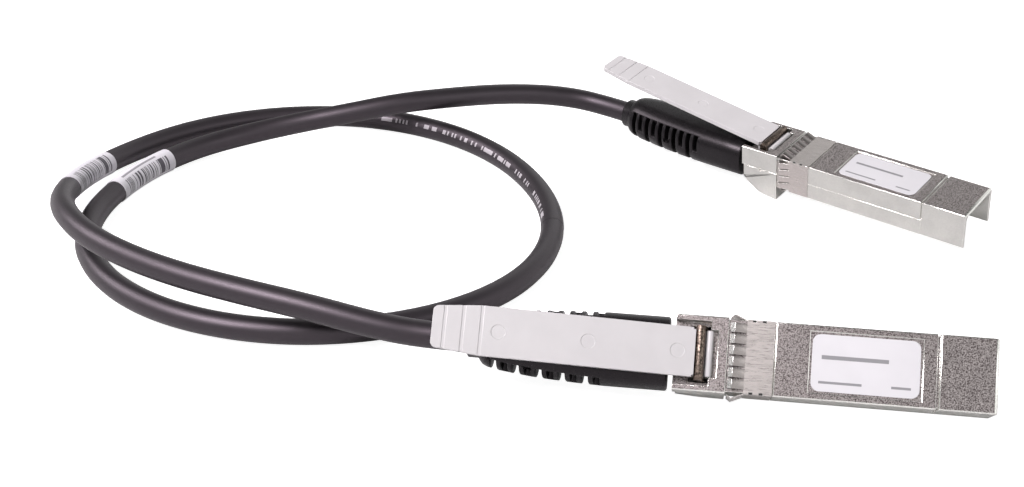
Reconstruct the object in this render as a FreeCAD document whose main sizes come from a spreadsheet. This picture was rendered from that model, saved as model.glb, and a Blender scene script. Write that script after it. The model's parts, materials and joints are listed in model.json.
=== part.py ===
import FreeCAD, Part
import math
import os
import re

import Sketcher
from FreeCAD import Placement, Rotation, Vector

# Direct attach copper cable: two pluggable metal plugs joined by one round black cable.
# Every plug is modelled in its own frame: X runs to the nose, Y across, Z up from the bottom
# of the slim body, and X = 0 is the shoulder where the thicker rear block begins.

# Driving dimensions, in millimetres and degrees.
SIZES = {
    # Slim body that slides into a port
    "body_width": 13.5,
    "body_height": 8.55,
    "nose_end": 47.5,
    "mouth_start": 37.1,
    "seam_level": 3.9,
    "shell_wall": 0.8,
    "cavity_start": 7.0,
    "nose_corner": 1.2,
    "overrun": 1.0,
    "edge_break": 0.35,
    "groove_width": 0.5,
    "groove_depth": 0.4,
    "groove_reach": 4.5,
    # Rear block behind the shoulder
    "block_length": 9.5,
    "block_width": 13.8,
    "block_rise": 0.3,
    "block_drop": 3.4,
    "belly_drop": 2.7,
    "heel_level": 0.2,
    "heel_round": 2.5,
    "rear_setback": 0.5,
    "axis_level": 3.3,
    "dimple_size": 1.1,
    "dimple_depth": 0.35,
    # Channel in the block for the pull tab
    "channel_width": 11.8,
    "channel_front": 3.1,
    "channel_floor": 6.4,
    "pocket_width": 8.7,
    "pocket_front": 1.75,
    # Spring fingers around the body
    "collar_start": 0.3,
    "collar_end": 8.3,
    "collar_sheet": 0.2,
    "collar_gap": 0.12,
    "finger_root": 3.3,
    "finger_overlap": 0.5,
    "finger_count": 6,
    "flank_finger_count": 4,
    "finger_crest": 1.1,
    "finger_flare": 0.95,
    "finger_lip": 0.35,
    "finger_slit": 0.35,
    "corner_gap": 0.8,
    "window_end": 6.0,
    "notch_place": 4.2,
    "notch_pitch": 1.8,
    "notch_length": 0.7,
    "notch_width": 0.4,
    # Label in its recess
    "label_start": 15.0,
    "label_length": 19.0,
    "label_width": 10.3,
    "label_depth": 0.25,
    "label_sheet": 0.12,
    "label_corner": 1.5,
    "label_margin": 0.45,
    # Circuit card and what is soldered to it
    "card_start": 12.0,
    "card_end": 44.3,
    "card_width": 9.2,
    "card_level": 2.25,
    "card_sheet": 1.0,
    "rail_start": 14.0,
    "rail_end": 36.0,
    "rail_width": 1.95,
    "pad_count": 10,
    "pad_pitch": 0.8,
    "pad_width": 0.55,
    "pad_length": 3.0,
    "pad_sheet": 0.04,
    "pad_inset": 0.3,
    "chip_place": 24.0,
    "chip_size": 3.0,
    "chip_height": 0.8,
    "capacitor_length": 1.0,
    "capacitor_width": 0.5,
    "capacitor_pitch": 2.0,
    # Wires and crimp
    "pair_width": 2.6,
    "pair_height": 1.4,
    "pair_gap": 0.3,
    "pair_end": 16.0,
    "ferrule_size": 5.6,
    "ferrule_bore": 4.4,
    "ferrule_start": 8.8,
    "ferrule_end": 6.4,
    # Rocker latch
    "pivot_place": 4.5,
    "pin_size": 1.4,
    "pin_clearance": 0.04,
    "pin_reach": 6.2,
    "bar_place": 4.9,
    "bar_level": 9.0,
    "bar_size": 1.7,
    "arm_outside": 4.95,
    "arm_sheet": 0.6,
    "arm_rear": 5.9,
    "arm_knee": 5.4,
    "arm_front": 3.5,
    "arm_clearance": 0.15,
    "swing_room": 0.9,
    "tongue_level": 0.1,
    "tongue_sheet": 0.55,
    "tongue_width": 4.4,
    "tongue_end": 5.2,
    "tongue_room": 0.2,
    "latch_ceiling": 2.0,
    "latch_web": 0.4,
    "boss_start": 2.5,
    "boss_top": 4.4,
    "boss_end": 5.1,
    "boss_width": 2.6,
    "boss_height": 0.45,
    "spring_width": 3.2,
    "spring_sheet": 0.2,
    "spring_rear": 2.6,
    "spring_front": 2.5,
    "spring_tip": 0.95,
    # Pull tab
    "tab_length": 48.5,
    "tab_width": 9.0,
    "tab_sheet": 1.1,
    "tab_end_width": 7.4,
    "tab_taper": 8.6,
    "tab_start": 1.4,
    "tab_throat": 8.3,
    "tab_grip_place": 39.4,
    "tab_grip_pitch": 3.3,
    "tab_grip_width": 0.6,
    "tab_grip_depth": 0.12,
    "tab_grip_count": 3,
    "tab_mark_place": 4.2,
    "tab_mark_pitch": 16.2,
    "tab_mark_size": 2.6,
    "tab_mark_depth": 0.05,
    "tab_mark_count": 3,
    "hook_depth": 1.7,
    "hook_inside": 1.0,
    "hook_round": 0.3,
    "hook_shoulder": 0.4,
    "hook_overlap": 1.0,
    "rod_size": 1.3,
    "rod_place": 1.8,
    "rod_level": 0.5,
    "near_tab_lift": 11.0,
    "far_tab_lift": 9.0,
    # Screws through the shells
    "screw_place": 10.0,
    "screw_offset": 4.6,
    "screw_size": 1.6,
    "screw_head": 2.6,
    "screw_head_height": 0.6,
    "screw_top": 6.5,
    "post_size": 2.8,
    # Boot
    "boot_length": 36.0,
    "boot_smooth": 12.4,
    "boot_gap": 1.0,
    "boot_width": 13.5,
    "boot_height": 9.2,
    "shoulder_height": 9.4,
    "boot_corner": 3.6,
    "boot_waist": 24.5,
    "waist_width": 12.6,
    "waist_height": 9.8,
    "waist_corner": 4.2,
    "dome_start": 34.2,
    "dome_width": 10.4,
    "dome_height": 10.0,
    "dome_corner": 4.7,
    "dome_end": 8.6,
    "dome_end_corner": 4.1,
    "neck_size": 6.4,
    "neck_length": 2.5,
    "slot_start": 15.4,
    "slot_pitch": 4.3,
    "slot_count": 5,
    "slot_width": 1.2,
    "side_slot_width": 1.2,
    "side_slot_core": 3.7,
    "slot_core": 3.1,
    "slot_bridge": 1.2,
    "side_slot_reach": 0.6,
    # Cable
    "cable_size": 5.2,
    "wrap_sheet": 0.15,
    "lead_run": 8.0,
    # Where the two plugs lie
    "near_across": 40.73,
    "near_deep": -59.17,
    "near_high": 7.44,
    "near_yaw": -7.5,
    "near_pitch": 2.3,
    "near_roll": 53.0,
    "far_across": 66.76,
    "far_deep": 34.96,
    "far_high": 4.56,
    "far_yaw": -38.0,
    "far_pitch": 0.5,
    "far_roll": 10.7,
    "origin_across": 47.237,
    "origin_deep": -4.172,
    "origin_high": -0.111,
}

# The cable's free route between the plugs, as chosen points of its centre line.
ROUTE = [
    (-25.0, -53.9, 8.4),
    (-38.0, -51.4, 10.3),
    (-51.0, -47.7, 10.9),
    (-63.5, -42.6, 10.9),
    (-75.0, -36.4, 11.0),
    (-85.6, -28.2, 11.0),
    (-93.6, -17.6, 10.5),
    (-98.6, -5.0, 8.2),
    (-100.4, 9.0, 5.2),
    (-98.6, 22.8, 3.4),
    (-93.6, 34.6, 2.7),
    (-86.0, 45.2, 2.7),
    (-76.0, 54.2, 2.7),
    (-64.0, 60.6, 2.7),
    (-50.8, 63.9, 2.7),
    (-37.2, 63.7, 2.7),
    (-24.2, 59.7, 2.7),
    (-12.8, 52.3, 2.7),
    (-3.4, 42.0, 2.7),
    (3.4, 29.9, 2.7),
    (7.8, 16.6, 2.7),
    (9.3, 2.8, 2.7),
    (7.3, -10.8, 2.7),
    (1.9, -23.3, 2.7),
    (-6.5, -33.5, 2.7),
    (-17.4, -41.4, 2.7),
    (-30.4, -46.6, 2.7),
    (-44.3, -48.4, 2.7),
    (-58.2, -46.4, 2.7),
    (-71.0, -40.8, 2.7),
    (-81.6, -31.8, 2.7),
    (-89.0, -20.2, 2.7),
    (-92.3, -9.0, 2.8),
    (-92.8, 2.0, 2.9),
    (-90.6, 14.5, 2.9),
    (-85.9, 27.0, 2.9),
    (-78.2, 38.6, 2.9),
    (-68.0, 46.4, 3.6),
    (-55.6, 51.2, 5.4),
    (-42.4, 52.6, 8.2),
    (-29.8, 55.2, 10.6),
    (-17.2, 59.6, 11.0),
    (-5.4, 65.2, 10.4),
    (5.6, 69.6, 9.2),
    (14.5, 71.0, 8.1),
]
# Each wrap label sits round one point of the route and the next one.
FIRST_WRAP_INDEX = 8
SECOND_WRAP_INDEX = 34

doc = FreeCAD.newDocument("direct_attach_cable")
sheet = doc.addObject("Spreadsheet::Sheet", "Sizes")
for row, (alias, number) in enumerate(SIZES.items(), start=1):
    sheet.set("A%d" % row, alias)
    sheet.set("B%d" % row, str(number))
    sheet.setAlias("B%d" % row, alias)
doc.recompute()

# How near two measured places count as the same, in millimetres.
TOLERANCE = 0.01

PIECES = []
CUTS = []


def size(alias):
    return float(sheet.get(alias))


def linked(text):
    """An expression over the sheet, from words that are aliases in it."""
    return re.sub(r"[a-z_]{3,}", lambda word: "Sizes." + word.group(0), text)


def new_piece(label, place):
    body = doc.addObject("PartDesign::Body", label)
    body.Label = label
    body.Placement = place
    PIECES.append(body)
    return body


def base_plane(body, role):
    return next(item for item in body.Origin.OriginFeatures if item.Role == role)


def new_sketch(body, axis, level):
    """A sketch square to one axis. Its own axes are Y and Z, X and Z, or X and Y."""
    role = {"x": "YZ_Plane", "y": "XZ_Plane", "z": "XY_Plane"}[axis]
    sketch = body.newObject("Sketcher::SketchObject", body.Label + "_sketch")
    sketch.AttachmentSupport = (base_plane(body, role), "")
    sketch.MapMode = "FlatFace"
    sign = "-" if axis == "y" else ""
    sketch.setExpression("AttachmentOffset.Base.z", linked("%s(%s)" % (sign, level)))
    return sketch


def bind(sketch, kind, refs, number, text):
    index = sketch.addConstraint(Sketcher.Constraint(kind, *refs, number))
    sketch.setExpression("Constraints[%d]" % index, linked(text))


def polygon(sketch, points):
    """A closed outline whose every corner is placed from the sheet."""
    count = len(points)
    first = sketch.GeometryCount
    step = 2 * math.pi / count
    spots = [Vector(math.cos(step * i), math.sin(step * i), 0) for i in range(count)]
    for i in range(count):
        sketch.addGeometry(Part.LineSegment(spots[i], spots[(i + 1) % count]))
    for i in range(count):
        sketch.addConstraint(Sketcher.Constraint("Coincident", first + i, 2, first + (i + 1) % count, 1))
    for i, (across, up) in enumerate(points):
        bind(sketch, "DistanceX", (-1, 1, first + i, 1), spots[i].x, across)
        bind(sketch, "DistanceY", (-1, 1, first + i, 1), spots[i].y, up)


def rectangle(sketch, left, right, low, high):
    polygon(sketch, [(left, low), (right, low), (right, high), (left, high)])


def circle(sketch, across, up, diameter):
    index = sketch.addGeometry(Part.Circle(Vector(1, 1, 0), Vector(0, 0, 1), 1))
    bind(sketch, "DistanceX", (-1, 1, index, 3), 1, across)
    bind(sketch, "DistanceY", (-1, 1, index, 3), 1, up)
    bind(sketch, "Diameter", (index,), 2, diameter)


def rounded(sketch, width, height, corner, up):
    """A rounded rectangle centred over the X axis of its sketch."""
    wide, tall, turn, rise = 6.0, 4.5, 2.0, 3.0
    flat, side = wide - turn, tall - turn
    ends = [
        (Vector(-flat, rise - tall, 0), Vector(flat, rise - tall, 0)),
        (Vector(wide, rise - side, 0), Vector(wide, rise + side, 0)),
        (Vector(flat, rise + tall, 0), Vector(-flat, rise + tall, 0)),
        (Vector(-wide, rise + side, 0), Vector(-wide, rise - side, 0)),
    ]
    for start, stop in ends:
        sketch.addGeometry(Part.LineSegment(start, stop))
    centres = [(flat, rise - side), (flat, rise + side), (-flat, rise + side), (-flat, rise - side)]
    for i, (x, y) in enumerate(centres):
        ring = Part.Circle(Vector(x, y, 0), Vector(0, 0, 1), turn)
        from_angle = math.radians(-90 + 90 * i)
        sketch.addGeometry(Part.ArcOfCircle(ring, from_angle, from_angle + math.radians(90)))
    for i in range(4):
        sketch.addConstraint(Sketcher.Constraint("Tangent", i, 2, 4 + i, 1))
        sketch.addConstraint(Sketcher.Constraint("Tangent", 4 + i, 2, (i + 1) % 4, 1))
    for i in (5, 6, 7):
        sketch.addConstraint(Sketcher.Constraint("Equal", 4, i))
    for i in (0, 2):
        sketch.addConstraint(Sketcher.Constraint("Horizontal", i))
        sketch.addConstraint(Sketcher.Constraint("Vertical", i + 1))
    bind(sketch, "Radius", (4,), turn, corner)
    bind(sketch, "DistanceX", (3, 1, 1, 1), 2 * wide, width)
    bind(sketch, "DistanceY", (0, 1, 2, 2), 2 * tall, height)
    bind(sketch, "DistanceX", (-1, 1, 1, 1), wide, "(%s) / 2" % width)
    bind(sketch, "DistanceY", (-1, 1, 0, 1), rise - tall, "%s - (%s) / 2" % (up, height))


def extrude(body, kind, axis, low, high, draw, *arguments):
    """A pad or pocket of one outline between two levels along an axis."""
    sketch = new_sketch(body, axis, high if axis == "y" else low)
    draw(sketch, *arguments)
    feature = body.newObject("PartDesign::" + kind, body.Label + "_" + kind.lower())
    feature.Profile = sketch
    feature.setExpression("Length", linked("(%s) - (%s)" % (high, low)))
    if kind == "Pocket":
        feature.Reversed = True
        CUTS.append(feature)
    body.Tip = feature
    return feature


def add(body, axis, low, high, draw, *arguments):
    return extrude(body, "Pad", axis, low, high, draw, *arguments)


def cut(body, axis, low, high, draw, *arguments):
    return extrude(body, "Pocket", axis, low, high, draw, *arguments)


def repeat(body, features, role, pitch, count):
    pattern = body.newObject("PartDesign::LinearPattern", body.Label + "_pattern")
    pattern.Originals = features
    pattern.Direction = (base_plane(body, role), [""])
    pattern.setExpression("Length", linked("(%s) * (%s - 1)" % (pitch, count)))
    pattern.setExpression("Occurrences", linked(count))
    body.Tip = pattern
    return pattern


def dress(body, kind, amount, chosen):
    """A fillet or chamfer on the edges that the given test picks."""
    doc.recompute()
    tip = body.Tip
    edges = tip.Shape.Edges
    names = ["Edge%d" % (i + 1) for i, edge in enumerate(edges) if chosen(edge)]
    feature = body.newObject("PartDesign::" + kind, body.Label + "_" + kind.lower())
    feature.Base = (tip, names)
    feature.setExpression("Radius" if kind == "Fillet" else "Size", linked(amount))
    body.Tip = feature
    return feature


def near(one, other):
    return abs(one - other) < TOLERANCE


def runs_along(edge, axis):
    box = edge.BoundBox
    spans = {"x": box.XLength, "y": box.YLength, "z": box.ZLength}
    length = spans.pop(axis)
    return length > TOLERANCE and max(spans.values()) < TOLERANCE


def plug_place(side):
    """Where a plug lies: turned about the upright, then raised at the nose, then rolled."""
    origin = Vector(size("origin_across"), size("origin_deep"), size("origin_high"))
    base = Vector(size(side + "_across"), size(side + "_deep"), size(side + "_high")) - origin
    turn = Rotation(Vector(0, 0, 1), size(side + "_yaw"))
    raise_nose = Rotation(Vector(0, 1, 0), -size(side + "_pitch"))
    roll = Rotation(Vector(1, 0, 0), size(side + "_roll"))
    return Placement(base, turn * raise_nose * roll)


def upper_shell(side, place):
    """Die-cast top: the plate, the nose walls and the upper half of the block."""
    body = new_piece(side + "_upper_shell", place)
    half = "body_width / 2"
    neck = "body_width / 2 - collar_sheet"
    add(body, "x", "collar_end + collar_gap", "nose_end", rectangle, "-" + half, half,
        "seam_level", "body_height")
    add(body, "x", "0", "collar_end + collar_gap", rectangle, "-(%s)" % neck, neck,
        "seam_level", "body_height - collar_sheet")
    add(body, "x", "mouth_start", "nose_end", rectangle, "-" + half, half, "0", "seam_level + overrun")
    add(body, "x", "-block_length", "0", rectangle, "-block_width / 2", "block_width / 2",
        "seam_level", "body_height + block_rise")
    inside = "body_width / 2 - shell_wall"
    cut(body, "x", "cavity_start", "nose_end + overrun", rectangle, "-(%s)" % inside, inside,
        "-overrun", "body_height - shell_wall")
    dress(body, "Fillet", "nose_corner", lambda edge: runs_along(edge, "x")
          and near(abs(edge.BoundBox.Center.y), size("body_width") / 2 - size("shell_wall"))
          and near(edge.BoundBox.Center.z, size("body_height") - size("shell_wall")))
    wires = "pair_width + pair_gap"
    cut(body, "x", "-ferrule_end", "cavity_start", rectangle, "-(%s)" % wires, wires,
        "seam_level - overrun", "channel_floor - shell_wall")
    cut(body, "x", "-block_length - overrun", "-ferrule_end", circle, "0", "axis_level", "ferrule_size")
    cut(body, "z", "channel_floor", "body_height + overrun", rectangle, "-block_length - overrun",
        "-channel_front", "-channel_width / 2", "channel_width / 2")
    cut(body, "z", "channel_floor", "body_height + overrun", rectangle, "-channel_front - overrun",
        "-pocket_front", "-pocket_width / 2", "pocket_width / 2")
    arm_room(body, "seam_level - overrun", "channel_floor + overrun")
    pin_seat(body)
    side_dimples(body)
    cut(body, "z", "body_height - label_depth", "body_height + overrun", rectangle,
        "label_start - label_margin", "label_start + label_length + label_margin",
        "-label_width / 2 - label_margin", "label_width / 2 + label_margin")
    groove = ("mouth_start - groove_width / 2", "mouth_start + groove_width / 2")
    cut(body, "x", *groove, rectangle, "-body_width", "body_width",
        "body_height - groove_depth", "body_height + overrun")
    for sign in ("", "-"):
        edge, outer = "%s(body_width / 2 - groove_depth)" % sign, sign + "body_width"
        cut(body, "x", *groove, rectangle, edge, outer, "body_height - groove_reach", "body_height")
    for sign in ("", "-"):
        add(body, "z", "seam_level", "body_height - shell_wall / 2", circle,
            "screw_place", sign + "screw_offset", "post_size")
        cut(body, "z", "seam_level - overrun", "screw_top", circle,
            "screw_place", sign + "screw_offset", "screw_size")
    dress(body, "Chamfer", "edge_break", lambda edge: runs_along(edge, "y")
          and near(edge.BoundBox.Center.x, size("nose_end"))
          and near(edge.BoundBox.Center.z, size("body_height")))
    return body


def arm_room(body, low, high):
    """Slots through the block in which the two rocker arms swing."""
    for sign in ("", "-"):
        inner = "%s(arm_outside - arm_sheet - arm_clearance)" % sign
        outer = "%s(arm_outside + arm_clearance)" % sign
        cut(body, "z", low, high, rectangle, "-arm_rear - swing_room",
            "-arm_front + swing_room / 2", inner, outer)


def pin_seat(body):
    """Half round seats in which the shells trap the pivot pins."""
    for sign in ("", "-"):
        low, high = "arm_outside - arm_sheet", "pin_reach"
        if sign:
            low, high = "-pin_reach", "-(arm_outside - arm_sheet)"
        cut(body, "y", low, high, circle, "-pivot_place", "seam_level", "pin_size")


def side_dimples(body):
    """Small round marks on the block's seam, outside the pivot pins."""
    inner, outer = "block_width / 2 - dimple_depth", "block_width / 2 + overrun"
    for low, high in ((inner, outer), ("-(%s)" % outer, "-(%s)" % inner)):
        cut(body, "y", low, high, circle, "-pivot_place", "seam_level", "dimple_size")


def lower_shell(side, place):
    """Die-cast bottom: the tray under the card and the lower half of the block."""
    body = new_piece(side + "_lower_shell", place)
    half = "body_width / 2"
    neck = "body_width / 2 - collar_sheet"
    add(body, "x", "collar_end + collar_gap", "mouth_start", rectangle, "-" + half, half,
        "0", "seam_level")
    add(body, "x", "0", "collar_end + collar_gap", rectangle, "-(%s)" % neck, neck,
        "collar_sheet", "seam_level")
    rear = "-block_length + rear_setback"
    heel = [
        (rear, "seam_level"),
        (rear, "heel_level"),
        ("-block_length / 2", "-belly_drop"),
        ("0", "-block_drop"),
        ("0", "seam_level"),
    ]
    add(body, "y", "-block_width / 2", "block_width / 2", polygon, heel)
    dress(body, "Fillet", "heel_round", lambda edge: runs_along(edge, "y")
          and edge.BoundBox.Center.z < size("heel_level") + TOLERANCE and edge.BoundBox.Center.x < -1)
    inside = "body_width / 2 - shell_wall"
    cut(body, "x", "cavity_start", "mouth_start + overrun", rectangle, "-(%s)" % inside, inside,
        "shell_wall", "seam_level + overrun")
    for sign in ("", "-"):
        add(body, "x", "rail_start", "rail_end", rectangle, "%s(%s - rail_width)" % (sign, inside),
            "%s(%s + shell_wall / 2)" % (sign, inside), "shell_wall / 2", "card_level")
    wires = "pair_width + pair_gap"
    cut(body, "x", "-ferrule_end", "cavity_start", rectangle, "-(%s)" % wires, wires,
        "latch_ceiling + latch_web", "seam_level + overrun")
    cut(body, "x", "-block_length - overrun", "-ferrule_end", circle, "0", "axis_level", "ferrule_size")
    arm_room(body, "tongue_level - tongue_room", "seam_level + overrun")
    pin_seat(body)
    side_dimples(body)
    cut(body, "z", "tongue_level - tongue_room", "latch_ceiling", rectangle, "-arm_rear - swing_room",
        "-arm_front + swing_room / 2", "-arm_outside + arm_sheet", "arm_outside - arm_sheet")
    cut(body, "z", "tongue_level - tongue_room", "latch_ceiling", rectangle,
        "-arm_front", "tongue_end + swing_room", "-tongue_width / 2 - tongue_room",
        "tongue_width / 2 + tongue_room")
    for sign in ("", "-"):
        add(body, "z", "shell_wall / 2", "seam_level", circle,
            "screw_place", sign + "screw_offset", "post_size")
        spot = ("screw_place", sign + "screw_offset")
        cut(body, "z", "-overrun", "seam_level + overrun", circle, *spot, "screw_size")
        cut(body, "z", "-overrun", "screw_head_height", circle, *spot, "screw_head")
    return body


def finger_collar(side, place):
    """One pressed sheet in a recess round the body: a band, and flared fingers at its rear."""
    body = new_piece(side + "_finger_collar", place)
    wide, tall = "body_width / 2", "body_height"
    add(body, "x", "finger_root", "collar_end", rectangle, "-" + wide, wide, "0", tall)
    inner = "body_width / 2 - collar_sheet"
    cut(body, "x", "finger_root - overrun", "collar_end + overrun", rectangle, "-(%s)" % inner, inner,
        "collar_sheet", tall + " - collar_sheet")
    levels = [
        ("finger_root + finger_overlap", "-collar_sheet"),
        ("finger_root + finger_overlap", "0"),
        ("finger_root", "0"),
        ("finger_crest", "finger_flare"),
        ("collar_start", "finger_lip"),
        ("collar_start", "finger_lip - collar_sheet"),
        ("finger_crest", "finger_flare - collar_sheet"),
        ("finger_root", "-collar_sheet"),
    ]
    span = "body_width / 2 - corner_gap"
    top = [(along, "%s + (%s)" % (tall, out)) for along, out in levels]
    under = [(along, "-(%s)" % out) for along, out in levels]
    for outline in (top, under):
        add(body, "y", "-(%s)" % span, span, polygon, outline)
    for sign in ("", "-"):
        flank = [(along, "%s(%s + %s)" % (sign, wide, out)) for along, out in levels]
        add(body, "z", "corner_gap", "body_height - corner_gap", polygon, flank)
    finger_slits(body, span)
    edge_notches(body)
    return body


def finger_slits(body, span):
    """Slits between the fingers, and the window below in which the catch shows."""
    pitch = "(2 * (%s) + finger_slit) / finger_count" % span
    slit = cut(body, "y", "-(%s) + %s - finger_slit" % (span, pitch), "-(%s) + %s" % (span, pitch),
               rectangle, "0", "finger_root", "-body_height", "body_height * 2")
    repeat(body, [slit], "Y_Axis", pitch, "finger_count - 1")
    flank_pitch = "(body_height - 2 * corner_gap + finger_slit) / flank_finger_count"
    flank_slit = cut(body, "z", "corner_gap + %s - finger_slit" % flank_pitch,
                     "corner_gap + " + flank_pitch, rectangle, "0", "finger_root",
                     "-body_width", "body_width")
    repeat(body, [flank_slit], "Z_Axis", flank_pitch, "flank_finger_count - 1")
    window = "tongue_width / 2 + tongue_room"
    cut(body, "z", "-body_height", "shell_wall", rectangle, "0", "window_end",
        "-(%s)" % window, window)


def edge_notches(body):
    """Two small notches in the band on each of its upper long edges."""
    for sign in ("", "-"):
        notch = cut(body, "z", "body_height - notch_width", "body_height + overrun", rectangle,
                    "notch_place", "notch_place + notch_length",
                    sign + "(body_width / 2 - notch_width)", sign + "body_width")
        repeat(body, [notch], "X_Axis", "notch_pitch", "2")


def label_plate(side, place):
    body = new_piece(side + "_label", place)
    low = "body_height - label_depth"
    add(body, "z", low, low + " + label_sheet", rectangle, "label_start", "label_start + label_length",
        "-label_width / 2", "label_width / 2")
    dress(body, "Fillet", "label_corner", lambda edge: runs_along(edge, "z"))
    return body


def circuit_card(side, place):
    body = new_piece(side + "_circuit_card", place)
    add(body, "z", "card_level", "card_level + card_sheet", rectangle, "card_start", "card_end",
        "-card_width / 2", "card_width / 2")
    dress(body, "Chamfer", "card_sheet / 4", lambda edge: runs_along(edge, "y")
          and near(edge.BoundBox.Center.x, size("card_end")))
    return body


def contact_pads(side, place):
    """Ten gold contacts on each face of the card, at its nose end."""
    body = new_piece(side + "_contact_pads", place)
    first = "-pad_pitch * (pad_count - 1) / 2"
    ends = ("card_end - pad_inset - pad_length", "card_end - pad_inset")
    spans = (first + " - pad_width / 2", first + " + pad_width / 2")
    top = add(body, "z", "card_level + card_sheet", "card_level + card_sheet + pad_sheet",
              rectangle, *ends, *spans)
    under = add(body, "z", "card_level - pad_sheet", "card_level", rectangle, *ends, *spans)
    repeat(body, [top, under], "Y_Axis", "pad_pitch", "pad_count")
    return body


def card_parts(side, place):
    """The memory chip and four small capacitors on top of the card."""
    body = new_piece(side + "_card_parts", place)
    top = "card_level + card_sheet"
    add(body, "z", top, top + " + chip_height", rectangle, "chip_place", "chip_place + chip_size",
        "-chip_size / 2", "chip_size / 2")
    for row in ("-capacitor_pitch", "capacitor_pitch / 2"):
        for column in ("1", "2"):
            start = "chip_place + chip_size + capacitor_pitch * " + column
            add(body, "z", top, top + " + capacitor_width", rectangle, start,
                start + " + capacitor_length", row, row + " + capacitor_width")
    return body


def wire_pairs(side, place):
    """Two shielded pairs from the crimp to the card, where they are soldered down."""
    body = new_piece(side + "_wire_pairs", place)
    low = "card_level + card_sheet"
    for sign in ("", "-"):
        add(body, "x", "-ferrule_end", "pair_end", rectangle, sign + "(pair_gap / 2)",
            "%s(pair_gap / 2 + pair_width)" % sign, low, low + " + pair_height")
    dress(body, "Fillet", "pair_height / 3", lambda edge: runs_along(edge, "x"))
    return body


def crimp_ferrule(side, place):
    body = new_piece(side + "_crimp_ferrule", place)
    add(body, "x", "-ferrule_start", "-ferrule_end", circle, "0", "axis_level", "ferrule_size")
    cut(body, "x", "-ferrule_start - overrun", "-ferrule_end - shell_wall", circle, "0", "axis_level",
        "ferrule_bore")
    return body


def latch_rocker(side, place):
    """Folded steel: the pull bar, two arms on the pivot and the tongue with its catch."""
    body = new_piece(side + "_latch_rocker", place)
    add(body, "y", "-arm_outside", "arm_outside", circle, "-bar_place", "bar_level", "bar_size")
    bottom, top = "tongue_level", "tongue_level + tongue_sheet"
    arm = [
        ("-arm_rear", bottom),
        ("-arm_front", bottom),
        ("-arm_front", "arm_knee"),
        ("-bar_place + bar_size / 2", "bar_level"),
        ("-bar_place - bar_size / 2", "bar_level"),
        ("-arm_rear", "arm_knee"),
    ]
    inner = "arm_outside - arm_sheet"
    for low, high in ((inner, "arm_outside"), ("-arm_outside", "-(%s)" % inner)):
        add(body, "y", low, high, polygon, arm)
    add(body, "z", bottom, top, rectangle, "-arm_rear", "-arm_front", "-arm_outside", "arm_outside")
    add(body, "z", bottom, top, rectangle, "-arm_front", "tongue_end", "-tongue_width / 2",
        "tongue_width / 2")
    ramp = [
        ("boss_start", bottom),
        ("boss_start", "-boss_height"),
        ("boss_top", "-boss_height"),
        ("boss_end", bottom),
    ]
    add(body, "y", "-boss_width / 2", "boss_width / 2", polygon, ramp)
    cut(body, "y", "-arm_outside - overrun", "arm_outside + overrun", circle, "-pivot_place", "seam_level",
        "pin_size + 2 * pin_clearance")
    return body


def rocker_pins(side, place):
    """Two short pins, trapped between the shells, that carry the rocker's arms."""
    body = new_piece(side + "_rocker_pins", place)
    add(body, "y", "arm_outside - arm_sheet", "pin_reach", circle, "-pivot_place", "seam_level", "pin_size")
    add(body, "y", "-pin_reach", "-(arm_outside - arm_sheet)", circle, "-pivot_place", "seam_level",
        "pin_size")
    return body


def latch_spring(side, place):
    """Leaf spring over the tongue that keeps the catch down."""
    body = new_piece(side + "_latch_spring", place)
    leaf = [
        ("-spring_rear", "spring_tip"),
        ("-spring_rear + spring_sheet", "spring_tip"),
        ("-spring_rear + spring_sheet", "latch_ceiling - spring_sheet"),
        ("spring_front", "latch_ceiling - spring_sheet"),
        ("spring_front", "latch_ceiling"),
        ("-spring_rear", "latch_ceiling"),
    ]
    add(body, "y", "-spring_width / 2", "spring_width / 2", polygon, leaf)
    return body


def shell_screws(side, place):
    """Two flat screws from below that hold the shells together."""
    body = new_piece(side + "_shell_screws", place)
    for sign in ("", "-"):
        spot = ("screw_place", sign + "screw_offset")
        add(body, "z", "0", "screw_head_height", circle, *spot, "screw_head")
        add(body, "z", "screw_head_height / 2", "screw_top", circle, *spot, "screw_size")
    return body


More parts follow.
